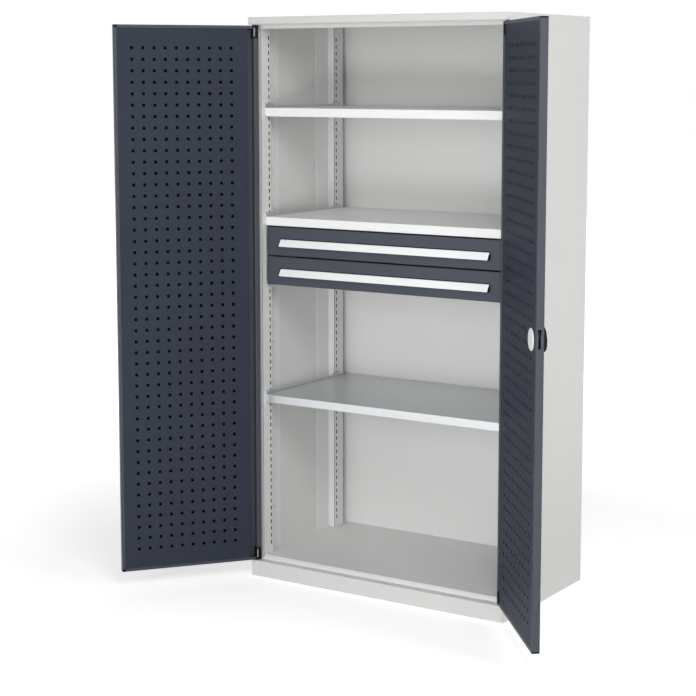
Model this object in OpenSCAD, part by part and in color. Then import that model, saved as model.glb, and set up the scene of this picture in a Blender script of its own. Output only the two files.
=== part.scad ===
// Tool cabinet with two perforated doors, three shelves and two drawers, in millimetres.
// Origin: centre of the footprint on the floor. +X to the right, +Y to the back, +Z up.

/* [Carcass] */
// Width of the carcass over the side walls
cab_w = 1000; // [800:10:1200]
// Depth of the carcass from the front plane to the back
cab_d = 580; // [500:10:700]
// Height of the carcass
cab_h = 1950; // [1700:10:2100]
// Thickness of the carcass sheet
sheet = 1.2; // [0.8:0.1:1.5]
// Inside radius of every bend
bend_r = 1.5; // [1:0.5:2.5]
// Height of the roof's front fascia
fascia_h = 25; // [22:1:40]
// Height of the plinth under the doors
plinth_h = 56; // [40:1:90]
// How far the door stops stand above the plinth and hang below the header
stop_lip = 14; // [10:1:20]
// Width of the side walls' front flanges
side_flange = 28; // [26:1:34]
// Width of the plinth's foot flanges
foot_flange = 20; // [15:1:30]

/* [Doors] */
// Thickness of a door
door_t = 25; // [22:1:30]
// Thickness of the door sheet
door_sheet = 1.2; // [1:0.1:1.5]
// Outside radius of a door's edges
door_edge_r = 3; // [2:0.5:4]
// How far the left door stands open, in degrees
left_open = 128; // [0:1:135]
// How far the right door stands open, in degrees
right_open = 130; // [0:1:135]
// Gap between the closed doors
middle_gap = 4; // [3:0.5:6]
// How far a closed door stays inside the carcass's side
side_gap = 0.5; // [0.3:0.1:2]
// Gap over and under a door
door_gap = 3; // [3:0.5:5]
// How far a closed door lies behind the front plane
setback = 1; // [0.5:0.5:4]
// Distance of the hinge axis from the door's hinge edge
hinge_in = 13; // [12:0.5:14]
// Diameter of a hinge pin
pin_d = 8; // [6:0.5:9]
// Height of a hinge block
block_h = 44; // [40:1:60]
// Width of the folded border on the hinge side
hinge_border = 17; // [17:1:22]
// Width of the folded border on the other three sides
door_border = 10; // [8:1:16]

/* [Perforated panels] */
// Thickness of a perforated panel
panel_t = 1; // [0.8:0.1:1.5]
// Open channel between the hinge border and the panel
panel_channel = 23; // [12:1:30]
// Side of a square hole
hole = 10; // [8:0.5:12]
// Pitch of the holes
hole_pitch = 38; // [30:1:45]
// Distance of the first column of holes from the panel's free edge
hole_edge = 49; // [40:1:60]
// Least distance of a hole from the panel's other edges
hole_margin = 48; // [40:1:56]

/* [Lock] */
// Distance of the lock's axis from the right door's free edge
lock_in = 59.5; // [56:0.5:66]
// Diameter of the handle's dish over its rim
dish_d = 88; // [84:1:92]
// Depth of the dish
dish_depth = 10; // [9:0.5:11]
// Length of the turning handle
handle_l = 82; // [70:1:84]
// Width of the turning handle
handle_w = 24; // [18:1:28]
// How far the turning handle stands out from the door
handle_out = 22.5; // [18:0.5:26]
// Diameter of the handle's spindle
spindle_d = 14; // [12:0.5:16]
// Diameter of the inner lock cover
cover_d = 68; // [64:1:74]
// Width of a lock rod
rod_w = 10; // [8:0.5:12]
// Thickness of a lock rod
rod_t = 4; // [3:0.5:5]

/* [Uprights] */
// How far the slotted faces stand in from the carcass's sides
post_in = 28; // [28:1:40]
// Depth of a slotted face
post_w = 60; // [56:1:70]
// Distance of the rear uprights from the back panel
post_back_gap = 30; // [10:1:60]
// Distance of the slots from the edge of their face
slot_edge = 14; // [10:1:20]
// Width of the flange on the side wall
post_flange = 80; // [60:1:100]
// Pitch of the slots
slot_pitch = 25; // [20:1:30]
// Height of a slot
slot_h = 14; // [12:0.5:16]
// Width of a slot
slot_w = 6; // [5:0.5:8]
// Height of the lowest slot above the plinth
slot_start = 50; // [30:1:80]

/* [Shelves] */
// Slot that holds the top shelf, counted from the lowest as 0
top_shelf_slot = 61; // [56:1:65]
// Slot that holds the middle shelf
middle_shelf_slot = 46; // [40:1:50]
// Slot that holds the lower shelf
lower_shelf_slot = 21; // [10:1:25]
// Height of a shelf's front lip
shelf_lip = 30; // [26:1:40]
// Distance of the shelves' lips from the front plane
shelf_setback = 55; // [55:1:80]
// Thickness of a shelf support
support_t = 2; // [1.5:0.5:3]
// How far a support stands above its shelf
support_up = 14; // [8:1:20]

/* [Drawers] */
// Height of a drawer front
front_h = 98; // [90:1:104]
// Thickness of a drawer front
front_t = 18; // [16:1:22]
// Gap over each drawer front
front_gap = 4.5; // [3:0.5:8]
// Length of the drawer runners
runner_l = 450; // [350:10:460]
// Height of a cabinet runner
runner_h = 45; // [40:1:50]
// Thickness of a closed runner
runner_t = 12.7; // [12:0.1:14]
// Length of the sloping grip strip
grip_l = 816; // [400:2:816]
// Height of the sloping grip strip
grip_h = 24; // [20:1:28]
// How far the grip strip stands out from the drawer front
grip_out = 15; // [10:1:18]
// Distance of the grip strip from the top of the drawer front
grip_drop = 42; // [36:1:46]

/* [Hidden] */
$fn = 48;

// clearances
body_gap = 0.3;        // between two bodies that pass each other
run_gap = 0.05;        // radial clearance of a turning fit
slip_gap = 0.5;        // between sheets that slide past each other
through = 1;           // how far a cut runs past the face it opens

// colours
light_grey = [0.84, 0.85, 0.84];
anthracite = [0.22, 0.24, 0.27];
zinc = [0.66, 0.68, 0.70];
bright = [0.92, 0.93, 0.92];
black = [0.06, 0.06, 0.07];

// carcass
side_x = cab_w / 2;
front_y = -cab_d / 2;
back_y = cab_d / 2;
header_z = cab_h - fascia_h;
hinge_v = door_t / 2;
swing_r = norm([hinge_in, hinge_v]);
swing_clear = 1;
hinge_y = front_y + setback + hinge_v;
stop_y = hinge_y + swing_r + swing_clear;
floor_z = plinth_h + stop_lip;
web_return = 6;
roof_flange = 20;
floor_bevel = 8;
back_x = side_x - sheet - bend_r - slip_gap;
lip_return = 12;
side_rail_y = stop_y + lip_return;
lip_x = min(side_x - side_flange, side_x - post_in) - body_gap;

// doors
door_w = side_x - middle_gap / 2 - side_gap;
door_z = plinth_h + door_gap;
door_h = header_z - door_gap - door_z;
hinge_x = side_x - side_gap - hinge_in;
pin_r = pin_d / 2;
cap_w = 12;
left_cap_h = 9;
right_cap_h = 5;
bush_wall = 2;
bush_rim = 1;
bush_depth = 9;
bush_collar = door_gap - 2 * body_gap;
bush_r = pin_r + bush_wall;
collar_r = bush_r + bush_rim;
pin_reach = 7;
pin_groove = 0.8 * pin_d;
groove_edge = 6;
block_over = 4;
block_w = hinge_border + block_over;

// perforated panels
panel_u0 = hinge_border + panel_channel;
panel_u1 = door_w - door_border - slip_gap;
panel_z0 = door_border + slip_gap;
panel_z1 = door_h - door_border - slip_gap;
hole_cols = floor((panel_u1 - panel_u0 - hole_edge - hole_margin) / hole_pitch) + 1;
hole_rows = floor((panel_z1 - panel_z0 - 2 * hole_margin) / hole_pitch) + 1;
hole_row0 = (door_h - (hole_rows - 1) * hole_pitch) / 2;
frame_flange = 14;

// lock
lock_u = door_w - lock_in;
lock_z = door_h / 2;
dish_r = dish_d / 2;
dish_wall = 2;
dish_rim = 2;
dish_flange = 5;
spindle_r = spindle_d / 2;
cup_r = dish_r - dish_flange;
case_w = 44;
case_h = 96;
case_wall = 2.5;
case_to_panel = 1.5;
case_v1 = door_t - panel_t - case_to_panel;
spindle_end = case_v1 - case_wall;
cover_t = 3;
cover_rim = 3;
rod_aside = 15;
rod_behind_dish = 4.5;
rod_u = lock_u + rod_aside;
rod_v = dish_depth + rod_behind_dish;
rod_in_case = 14;
rod_z0 = 0.5;
rod_x = hinge_x + hinge_in - rod_u;
rod_y = front_y + setback + rod_v + rod_t / 2;
keeper_hole = [22, 10];
bolt_t = 6;
bolt_low = 10;
bolt_high = 30;
bolt_behind_dish = 1;
bolt_recess = 4;
bolt_v0 = dish_depth + bolt_behind_dish;
bolt_u0 = lock_u - case_w / 2 + case_wall;
bolt_u1 = door_w - door_sheet - bolt_recess;
slot_v = bolt_v0 + bolt_t / 2;
slot_low_z = -21;
slot_high_z = 36;
slot_head_h = 15;
slot_head_w = 10.5;
slot_neck_w = bolt_t + 2 * slip_gap;
guide_w = 26;
guide_h = 20;
guide_from_end = 40;
handle_back = dish_depth - dish_wall - body_gap;
base_r = cup_r - dish_wall - slip_gap;
fin_edge = 11;
fin_skew = 0.25;
fin_steps = 16;
fin_peak = max([for (k = [0 : fin_steps]) fin_bow(cos(180 * k / fin_steps))]);
plug_r = 5;
plug_z = 22;
plug_proud = 0.5;
plug_floor = 4;
plug_front = fin_front(2 * plug_z / handle_l) - plug_proud;
plug_back = handle_back - plug_floor;
keyway = [1.4, 2, 6];

// uprights
post_x = side_x - post_in;
post_front_y = stop_y + sheet;
panel_y = back_y - 2 * sheet;
rear_post_y = panel_y - post_back_gap;
slot_front_y = post_front_y + post_w - slot_edge;
slot_back_y = rear_post_y - post_w + slot_edge;
slot_end = 44;
slot_base = plinth_h + slot_start;
slot_count = floor((header_z - slot_end - slot_base) / slot_pitch) + 1;
hook_up = 0.6 * slot_h;
hook_down = 0.3 * slot_h;
post_z0 = floor_z;
post_z1 = cab_h - roof_flange - body_gap;
screw_pitch = 300;
screw_r = 4;
screw_head = 1.6;

// shelves
shelf_over_slot = 13;
support_drop = 20;
support_foot = 22;
hook_margin = 24;
shelf_x = post_x - support_t - slip_gap;
shelf_front_y = front_y + shelf_setback;
shelf_back_gap = 3;
shelf_back_y = panel_y - shelf_back_gap;
top_shelf_z = slot_base + top_shelf_slot * slot_pitch + shelf_over_slot;
middle_shelf_z = slot_base + middle_shelf_slot * slot_pitch + shelf_over_slot;
lower_shelf_z = slot_base + lower_shelf_slot * slot_pitch + shelf_over_slot;

// drawers
front_side_gap = 5;
front_x = post_x - front_side_gap;
drawer_y = shelf_front_y;
front_back_y = drawer_y + front_t;
upper_front_z = middle_shelf_z - shelf_lip - front_gap - front_h;
lower_front_z = upper_front_z - front_gap - front_h;
runner_x = post_x - support_t;
tray_x = runner_x - runner_t;
tray_y0 = front_back_y;
tray_y1 = tray_y0 + runner_l;
runner_inset = 3;
runner_y0 = tray_y0 + runner_inset;
tray_floor = 10;
tray_h = 72;
tray_hem = 10;
front_edge_r = 3;
runner_sheet = 1.2;
runner_gap = 0.4;
runner_step = runner_sheet + runner_gap;
bracket_edge = 4;
middle_runner_h = runner_h - 2 * runner_step;
drawer_runner_h = middle_runner_h - 2 * runner_step;
runner_mid = 42;
shell_wall = 1.5;
cheek_out = 1;
cheek_w = 3;
shell_inset = 3;
shell_back_y = front_back_y - shell_inset;
grip_top = front_h - grip_drop;
grip_top_fold = 8;
grip_low_fold = 6;
gap_over_grip = 3.5;
grip_below_cut = 2;
cut_top = grip_top + gap_over_grip;
cut_bottom = grip_top - grip_h + grip_below_cut;
cut_x = grip_l / 2 + cheek_w;

// Outline of a folded sheet. The path is one face; the thickness lies to its left.
bend_steps = 3;
function unit(v) = v / norm(v);
function left_of(v) = [-v.y, v.x];
function turned(v, a) = [v.x * cos(a) - v.y * sin(a), v.x * sin(a) + v.y * cos(a)];
function bend_points(a, b, c, t, r) =
    let (d1 = unit(b - a), d2 = unit(c - b),
         turn = atan2(d1.x * d2.y - d1.y * d2.x, d1 * d2), side = sign(turn),
         rho = turn > 0 ? r + t : r,
         centre = b - rho * tan(abs(turn) / 2) * d1 + side * rho * left_of(d1))
    [for (k = [0 : bend_steps])
        let (n = turned(left_of(d1), turn * k / bend_steps)) [centre - side * rho * n, n]];
function folded(p, t, r) =
    let (last = len(p) - 1,
         face = concat(
             [[p[0], left_of(unit(p[1] - p[0]))]],
             last < 2 ? [] : [for (i = [1 : last - 1]) each bend_points(p[i - 1], p[i], p[i + 1], t, r)],
             [[p[last], left_of(unit(p[last] - p[last - 1]))]]))
    concat([for (f = face) f[0]],
           [for (i = [len(face) - 1 : -1 : 0]) face[i][0] + t * face[i][1]]);
module folded_strip(path, t = sheet, r = bend_r) polygon(folded(path, t, r));

// Extrudes a section in Y and Z from x0 to x1
module along_x(x0, x1) translate([x0, 0, 0]) rotate([90, 0, 90]) linear_extrude(x1 - x0) children();
// Extrudes a section in X and Z from y0 to y1
module along_y(y0, y1) translate([0, y1, 0]) rotate([90, 0, 0]) linear_extrude(y1 - y0) children();
// Extrudes a section in X and Y from z0 to z1
module along_z(z0, z1) translate([0, 0, z0]) linear_extrude(z1 - z0) children();
// A box from one corner to the other
module span(a, b) translate(a) cube(b - a);
// The same shape on the right-hand side
module on_both_sides() {
    children();
    mirror([1, 0, 0]) children();
}

// A block w by d by h whose four edges on the face y = 0 are rounded
module eased_section(w, d, r) {
    translate([0, r]) square([w, d - r]);
    translate([r, 0]) square([w - 2 * r, r + 0.1]);
    for (x = [r, w - r]) translate([x, r]) circle(r);
}
module eased_block(w, d, h, r) intersection() {
    linear_extrude(h) eased_section(w, d, r);
    translate([w, 0, 0]) rotate([0, -90, 0]) linear_extrude(w) eased_section(h, d, r);
}
// The same block with the upright edges of its other face rounded too
module round_sided_block(w, d, h, r) intersection() {
    eased_block(w, d, h, r);
    translate([0, d, 0]) mirror([0, 1, 0]) linear_extrude(h) eased_section(w, d, r);
}

// Side walls: a plate down to the floor, notched for the door, with front and rear flanges
module side_wall() color(light_grey) {
    difference() {
        along_z(0, cab_h) folded_strip([
            [-side_x + foot_flange, back_y], [-side_x, back_y],
            [-side_x, stop_y], [-side_x + side_flange, stop_y]]);
        for (z = [[-through, plinth_h], [header_z, cab_h + through]])
            span([-side_x + sheet, stop_y - through, z[0]],
                 [-side_x + side_flange + through, stop_y + sheet + bend_r, z[1]]);
    }
    for (z = [[0, plinth_h], [header_z, cab_h]])
        span([-side_x, front_y, z[0]], [-side_x + sheet, stop_y + 2 * (sheet + bend_r), z[1]]);
}
module left_side_wall() side_wall();
module right_side_wall() mirror([1, 0, 0]) side_wall();

module back_panel() color(light_grey)
    span([-back_x, panel_y, 0], [back_x, back_y - sheet, cab_h - sheet]);

// Roof with the front fascia folded down, and flanges inside the walls
module roof_panel() color(light_grey) {
    roof_x = side_x - sheet;
    along_x(-roof_x, roof_x) folded_strip([
        [back_y - sheet, cab_h], [front_y, cab_h],
        [front_y, header_z + sheet], [front_y + web_return, header_z + sheet]]);
    on_both_sides()
        span([-roof_x, stop_y + sheet, cab_h - roof_flange], [-roof_x + sheet, panel_y, cab_h - sheet]);
    span([-roof_x + sheet, panel_y - sheet, cab_h - roof_flange], [roof_x - sheet, panel_y, cab_h - sheet]);
}

// The pins' bushes and the lock rod pass through the webs over and under the doors
module web_holes(z) {
    for (x = [-hinge_x, hinge_x]) translate([x, hinge_y, z - through - sheet])
        cylinder(r = bush_r, h = 2 * (sheet + through));
    translate([rod_x, rod_y, z])
        cube([keeper_hole.x, keeper_hole.y, 2 * (sheet + through)], center = true);
}

// Web over the doors with the stop lip in front of the compartments
module header_rail() color(light_grey) difference() {
    along_x(-side_x + sheet, side_x - sheet) folded_strip([
        [front_y, header_z], [stop_y, header_z],
        [stop_y, header_z - stop_lip], [stop_y + lip_return, header_z - stop_lip]]);
    on_both_sides() span([-side_x, stop_y - bend_r, header_z - stop_lip - through],
                         [-lip_x, stop_y + lip_return + through, header_z]);
    web_holes(header_z);
}

// Floor with a bevelled stop lip, running forward as the web under the doors
module floor_panel() color(light_grey) difference() {
    along_x(-side_x + sheet, side_x - sheet) folded_strip([
        [panel_y, floor_z], [stop_y + floor_bevel, floor_z], [stop_y, floor_z - floor_bevel],
        [stop_y, plinth_h], [front_y, plinth_h]], sheet, 0.5);
    on_both_sides() span([-side_x, stop_y - through, plinth_h],
                         [-lip_x, stop_y + sheet + bend_r + body_gap, cab_h]);
    web_holes(plinth_h);
}

// Plinth ring: front and rear channels, side rails and a flange round the foot
module plinth_frame() color(light_grey) {
    ring_x = side_x - sheet;
    inset = sheet + bend_r;
    rail_z = floor_z - sheet;
    web_z = plinth_h - sheet;
    along_x(-ring_x, ring_x) folded_strip([
        [front_y + web_return, web_z], [front_y, web_z], [front_y, 0], [front_y + foot_flange, 0]]);
    along_x(-ring_x, ring_x) folded_strip([
        [panel_y - foot_flange, 0], [panel_y, 0], [panel_y, rail_z], [panel_y - foot_flange, rail_z]]);
    on_both_sides() along_y(side_rail_y, panel_y - inset) folded_strip([
        [-ring_x + foot_flange, rail_z], [-ring_x, rail_z], [-ring_x, 0], [-ring_x + foot_flange, 0]]);
    along_z(0, sheet) difference() {
        translate([-ring_x + inset, front_y + inset])
            square([2 * (ring_x - inset), panel_y - front_y - 2 * inset]);
        translate([-ring_x + foot_flange, front_y + foot_flange])
            square([2 * (ring_x - foot_flange), panel_y - front_y - 2 * foot_flange]);
    }
}

// Uprights: hat sections with a row of slots, from the floor to the roof's flange
module upright_section() folded_strip([
    [-side_x + sheet + bend_r + slip_gap, 0], [-post_x, 0], [-post_x, post_w],
    [-side_x + 2 * sheet, post_w], [-side_x + 2 * sheet, post_w + post_flange]]);
module upright() color(light_grey) difference() {
    along_z(post_z0, post_z1) upright_section();
    for (k = [0 : slot_count - 1])
        translate([-post_x, post_w - slot_edge, slot_base + k * slot_pitch])
            cube([2 * (sheet + through), slot_w, slot_h], center = true);
}
module front_upright() translate([0, post_front_y, 0]) upright();
module rear_upright() translate([0, rear_post_y, 0]) mirror([0, 1, 0]) upright();
module front_left_upright() front_upright();
module front_right_upright() mirror([1, 0, 0]) front_upright();
module rear_left_upright() rear_upright();
module rear_right_upright() mirror([1, 0, 0]) rear_upright();

// Pan heads along the uprights' wall flanges
module upright_screws() color(zinc) on_both_sides()
    for (y = [post_front_y + post_w + post_flange / 2, rear_post_y - post_w - post_flange / 2],
         z = [post_z0 + screw_pitch / 2 : screw_pitch : post_z1 - screw_r])
        translate([-side_x + 2 * sheet, y, z]) rotate([0, 90, 0]) cylinder(r = screw_r, h = screw_head);

// Plastic bushes for the doors' pins, with a collar in the gap under or over the door
module hinge_bush() difference() {
    union() {
        translate([0, 0, -bush_depth]) cylinder(r = bush_r, h = bush_depth);
        cylinder(r = collar_r, h = bush_collar);
    }
    translate([0, 0, -bush_depth - through])
        cylinder(r = pin_r + run_gap, h = bush_depth + bush_collar + 2 * through);
}
module hinge_bushes() color(black) for (x = [-hinge_x, hinge_x]) {
    translate([x, hinge_y, plinth_h]) hinge_bush();
    translate([x, hinge_y, header_z]) mirror([0, 0, 1]) hinge_bush();
}

// Guide plates behind the webs where the lock's rods go in
module keeper_plate() difference() {
    translate([rod_x - keeper_hole.x, rod_y - keeper_hole.y, 0])
        cube([2 * keeper_hole.x, 2 * keeper_hole.y, support_t]);
    translate([rod_x, rod_y, 0])
        cube([rod_w + 2 * slip_gap, rod_t + 2 * slip_gap, 2 * (support_t + through)], center = true);
}
module rod_keepers() color(zinc) {
    translate([0, 0, header_z + sheet]) keeper_plate();
    translate([0, 0, plinth_h - sheet]) mirror([0, 0, 1]) keeper_plate();
}

// Shelves: pans with deep front and rear lips and short side lips
module shelf(z) color(bright) {
    along_x(-shelf_x, shelf_x) folded_strip([
        [shelf_back_y - lip_return, z - shelf_lip], [shelf_back_y, z - shelf_lip], [shelf_back_y, z],
        [shelf_front_y, z], [shelf_front_y, z - shelf_lip], [shelf_front_y + lip_return, z - shelf_lip]]);
    on_both_sides()
        span([-shelf_x, shelf_front_y + sheet + bend_r, z - support_drop],
             [-shelf_x + sheet, shelf_back_y - sheet - bend_r, z - sheet]);
}
module top_shelf() shelf(top_shelf_z);
module middle_shelf() shelf(middle_shelf_z);
module lower_shelf() shelf(lower_shelf_z);

// A hook that goes through a slot and hangs behind the slotted face
module slot_hook(y, z) {
    tongue_x = -post_x - sheet - body_gap;
    neck_w = slot_w - 2 * slip_gap;
    foot = z - slot_h / 2;
    span([tongue_x, y - neck_w / 2, foot], [-post_x, y + neck_w / 2, foot + hook_up]);
    span([tongue_x - support_t, y - neck_w / 2, foot - hook_down],
         [tongue_x, y + neck_w / 2, foot + hook_up]);
}
module slot_hooks(z) for (y = [slot_front_y, slot_back_y]) slot_hook(y, z);

// Shelf supports: angle rails hooked into the uprights, raised at both ends
module shelf_supports(z) color(zinc) on_both_sides() {
    support_y0 = slot_front_y - hook_margin;
    support_y1 = slot_back_y + hook_margin;
    rise = 2 * hook_margin;
    along_x(-post_x, -post_x + support_t) polygon([
        [support_y0, z - support_drop - support_t], [support_y1, z - support_drop - support_t],
        [support_y1, z + support_up], [support_y1 - rise, z + support_up],
        [support_y1 - rise - support_up / 2, z + support_up / 2],
        [support_y0 + rise + support_up / 2, z + support_up / 2],
        [support_y0 + rise, z + support_up], [support_y0, z + support_up]]);
    span([-post_x, shelf_front_y + lip_return / 2, z - support_drop - support_t],
         [-post_x + support_foot, support_y1, z - support_drop]);
    slot_hooks(z - shelf_over_slot);
}
module top_shelf_supports() shelf_supports(top_shelf_z);
module middle_shelf_supports() shelf_supports(middle_shelf_z);
module lower_shelf_supports() shelf_supports(lower_shelf_z);

// Telescopic runners: three channels nested in each other, one pair for each drawer
module runner_channel(x0, x1, h) translate([0, 0, -h / 2]) along_y(runner_y0, runner_y0 + runner_l)
    folded_strip([[x1, h], [x0, h], [x0, 0], [x1, 0]], runner_sheet, 0.5);
module cabinet_runners(z) color(zinc) on_both_sides() {
    slot_k = round((z - slot_base) / slot_pitch);
    span([-post_x, slot_front_y - hook_margin, z - runner_h / 2 - bracket_edge],
         [-runner_x, slot_back_y + hook_margin, z + runner_h / 2 + bracket_edge]);
    translate([0, 0, z]) runner_channel(-runner_x, -tray_x - slip_gap, runner_h);
    slot_hooks(slot_base + slot_k * slot_pitch);
}
module middle_runners(z) color(zinc) on_both_sides() translate([0, 0, z])
    runner_channel(-runner_x + runner_step, -tray_x - slip_gap, middle_runner_h);
module drawer_runners(z) color(zinc) on_both_sides() translate([0, 0, z]) mirror([1, 0, 0])
    runner_channel(tray_x, runner_x - 2 * runner_step, drawer_runner_h);
module upper_cabinet_runners() cabinet_runners(upper_front_z + runner_mid);
module lower_cabinet_runners() cabinet_runners(lower_front_z + runner_mid);
module upper_middle_runners() middle_runners(upper_front_z + runner_mid);
module lower_middle_runners() middle_runners(lower_front_z + runner_mid);
module upper_drawer_runners() drawer_runners(upper_front_z + runner_mid);
module lower_drawer_runners() drawer_runners(lower_front_z + runner_mid);

// Drawer tray, open at the top, with the side walls hemmed outwards over the runners
module drawer_tray(z) color(light_grey) translate([0, 0, z + tray_floor]) {
    difference() {
        span([-tray_x, tray_y0, 0], [tray_x, tray_y1, tray_h]);
        span([-tray_x + sheet, tray_y0 + sheet, sheet],
             [tray_x - sheet, tray_y1 - sheet, tray_h + through]);
    }
    on_both_sides() span([-tray_x + sheet, tray_y0 + sheet, tray_h - sheet],
                         [-tray_x + tray_hem, tray_y1 - sheet, tray_h]);
}
module upper_drawer_tray() drawer_tray(upper_front_z);
module lower_drawer_tray() drawer_tray(lower_front_z);

// Drawer front: a pan open at the back, with the grip's cut-out
module drawer_front(z) color(anthracite) translate([0, 0, z]) difference() {
    translate([-front_x, drawer_y, 0]) eased_block(2 * front_x, front_t, front_h, front_edge_r);
    translate([-front_x + sheet, drawer_y + sheet, sheet])
        eased_block(2 * (front_x - sheet), front_t, front_h - 2 * sheet, front_edge_r - sheet);
    span([-cut_x, drawer_y - through, cut_bottom], [cut_x, drawer_y + sheet + through, cut_top]);
}
module upper_drawer_front() drawer_front(upper_front_z);
module lower_drawer_front() drawer_front(lower_front_z);

// Black trough behind the grip strip, with cheeks that close its ends
module grip_shell(z) color(black) translate([0, 0, z]) {
    along_x(-cut_x, cut_x) folded_strip([
        [drawer_y, cut_bottom], [shell_back_y, cut_bottom], [shell_back_y, cut_top],
        [drawer_y, cut_top]], shell_wall, bend_r);
    on_both_sides() along_x(-cut_x, -grip_l / 2) polygon([
        [shell_back_y, cut_bottom], [shell_back_y, cut_top], [drawer_y, cut_top],
        [drawer_y - cheek_out, grip_top], [drawer_y - grip_out - cheek_out, grip_top - grip_h],
        [drawer_y - grip_out, grip_top - grip_h - cheek_out], [drawer_y, cut_bottom]]);
}
module upper_drawer_grip_shell() grip_shell(upper_front_z);
module lower_drawer_grip_shell() grip_shell(lower_front_z);

// Sloping strip to pull the drawer by, held between the cheeks
module grip_strip(z) color(bright) translate([0, 0, z]) along_x(-grip_l / 2, grip_l / 2) folded_strip([
    [drawer_y + grip_top_fold, grip_top], [drawer_y, grip_top],
    [drawer_y - grip_out, grip_top - grip_h], [drawer_y - grip_out + grip_low_fold, grip_top - grip_h]],
    shell_wall, 0.5);
module upper_drawer_grip_strip() grip_strip(upper_front_z);
module lower_drawer_grip_strip() grip_strip(lower_front_z);

// A door is drawn closed, from its hinge edge, its outer face and its foot, and then turned open
module left_door() translate([-hinge_x, hinge_y, door_z]) rotate([0, 0, -left_open])
    translate([-hinge_in, -hinge_v, 0]) children();
module right_door() translate([hinge_x, hinge_y, door_z]) rotate([0, 0, right_open])
    mirror([1, 0, 0]) translate([-hinge_in, -hinge_v, 0]) children();
// The same shape at the foot and at the head of a door
module at_both_ends() {
    children();
    translate([0, 0, door_h]) mirror([0, 0, 1]) children();
}

// Folded pan of a door: skin, edges and returns, with a closed box along the hinge side
module door_pan() difference() {
    union() {
        difference() {
            round_sided_block(door_w, door_t, door_h, door_edge_r);
            translate([door_sheet, door_sheet, door_sheet])
                round_sided_block(door_w - 2 * door_sheet, door_t - 2 * door_sheet, door_h - 2 * door_sheet,
                                  door_edge_r - door_sheet);
            span([hinge_border, door_t / 2, door_border],
                 [door_w - door_border, door_t + through, door_h - door_border]);
        }
        span([hinge_border - door_sheet, door_sheet, door_sheet],
             [hinge_border, door_t - door_sheet, door_h - door_sheet]);
        border_round();
    }
    difference() {
        span([hinge_border - door_edge_r, door_t - door_edge_r, block_h],
             [hinge_border + through, door_t + through, door_h - block_h]);
        border_round();
    }
    at_both_ends() {
        translate([hinge_in, hinge_v, -through])
            cylinder(r = pin_r + slip_gap, h = door_sheet + 2 * through);
        translate([door_sheet, door_sheet, door_sheet])
            eased_block(block_w - door_sheet, door_t, block_h - door_sheet, door_edge_r - door_sheet);
    }
}
// The rounded edge of the hinge border, between the hinge blocks
module border_round() translate([hinge_border - door_edge_r, door_t - door_edge_r, block_h])
    cylinder(r = door_edge_r, h = door_h - 2 * block_h);
// An opening in a door's free edge, w wide, between two heights from the lock's axis
module edge_opening(w, z0, z1)
    span([door_w - door_sheet - through, slot_v - w / 2, lock_z + z0],
         [door_w + through, slot_v + w / 2, lock_z + z1]);
module corner_cut(h) at_both_ends()
    span([door_w - cap_w, door_sheet, -through], [door_w + through, door_t + through, h]);
module left_door_leaf() color(anthracite) left_door() difference() {
    door_pan();
    corner_cut(left_cap_h);
    edge_opening(slot_neck_w, bolt_low - slip_gap, bolt_high + slip_gap);
}
module right_door_leaf() color(anthracite) right_door() difference() {
    door_pan();
    corner_cut(right_cap_h);
    at_lock() translate([0, 0, -through]) cylinder(r = cup_r, h = door_sheet + 2 * through);
    at_both_ends() rod_slot(0);
    edge_opening(slot_neck_w, slot_low_z, slot_high_z);
    edge_opening(slot_head_w, slot_high_z - slot_head_h, slot_high_z);
}

// Frame of channels that carries the perforated panel
module panel_frame() difference() {
    span([panel_u0, door_sheet, panel_z0], [panel_u1, door_t - panel_t, panel_z1]);
    span([panel_u0 + door_sheet, 0, panel_z0 + door_sheet],
         [panel_u1 - door_sheet, door_t - panel_t - door_sheet, panel_z1 - door_sheet]);
    span([panel_u0 + frame_flange, 0, panel_z0 + frame_flange],
         [panel_u1 - frame_flange, door_t, panel_z1 - frame_flange]);
}
module left_door_stiffener() color(anthracite) left_door() panel_frame();
module right_door_stiffener() color(anthracite) right_door() difference() {
    panel_frame();
    at_both_ends() rod_slot(panel_z0);
    span([panel_u1 - door_sheet - through, slot_v - slot_head_w / 2, lock_z + slot_low_z],
         [panel_u1 + through, slot_v + slot_head_w / 2, lock_z + slot_high_z]);
}

// Perforated panel: a grid of square holes, left out round the lock's cover
module panel_holes(keep_out) for (i = [0 : hole_cols - 1], j = [0 : hole_rows - 1])
    let (u = panel_u1 - hole_edge - i * hole_pitch, z = hole_row0 + j * hole_pitch)
        if (norm([u - lock_u, z - lock_z]) > keep_out) translate([u, z]) square(hole, center = true);
module perforated_panel(keep_out) along_y(door_t - panel_t, door_t) difference() {
    translate([panel_u0, panel_z0]) square([panel_u1 - panel_u0, panel_z1 - panel_z0]);
    panel_holes(keep_out);
    if (keep_out > 0) translate([lock_u, lock_z]) circle(cover_d / 2 - cover_rim);
}
module left_door_panel() color(anthracite) left_door() perforated_panel(0);
module right_door_panel() color(anthracite) right_door() perforated_panel(cover_d / 2 + hole);

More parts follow.
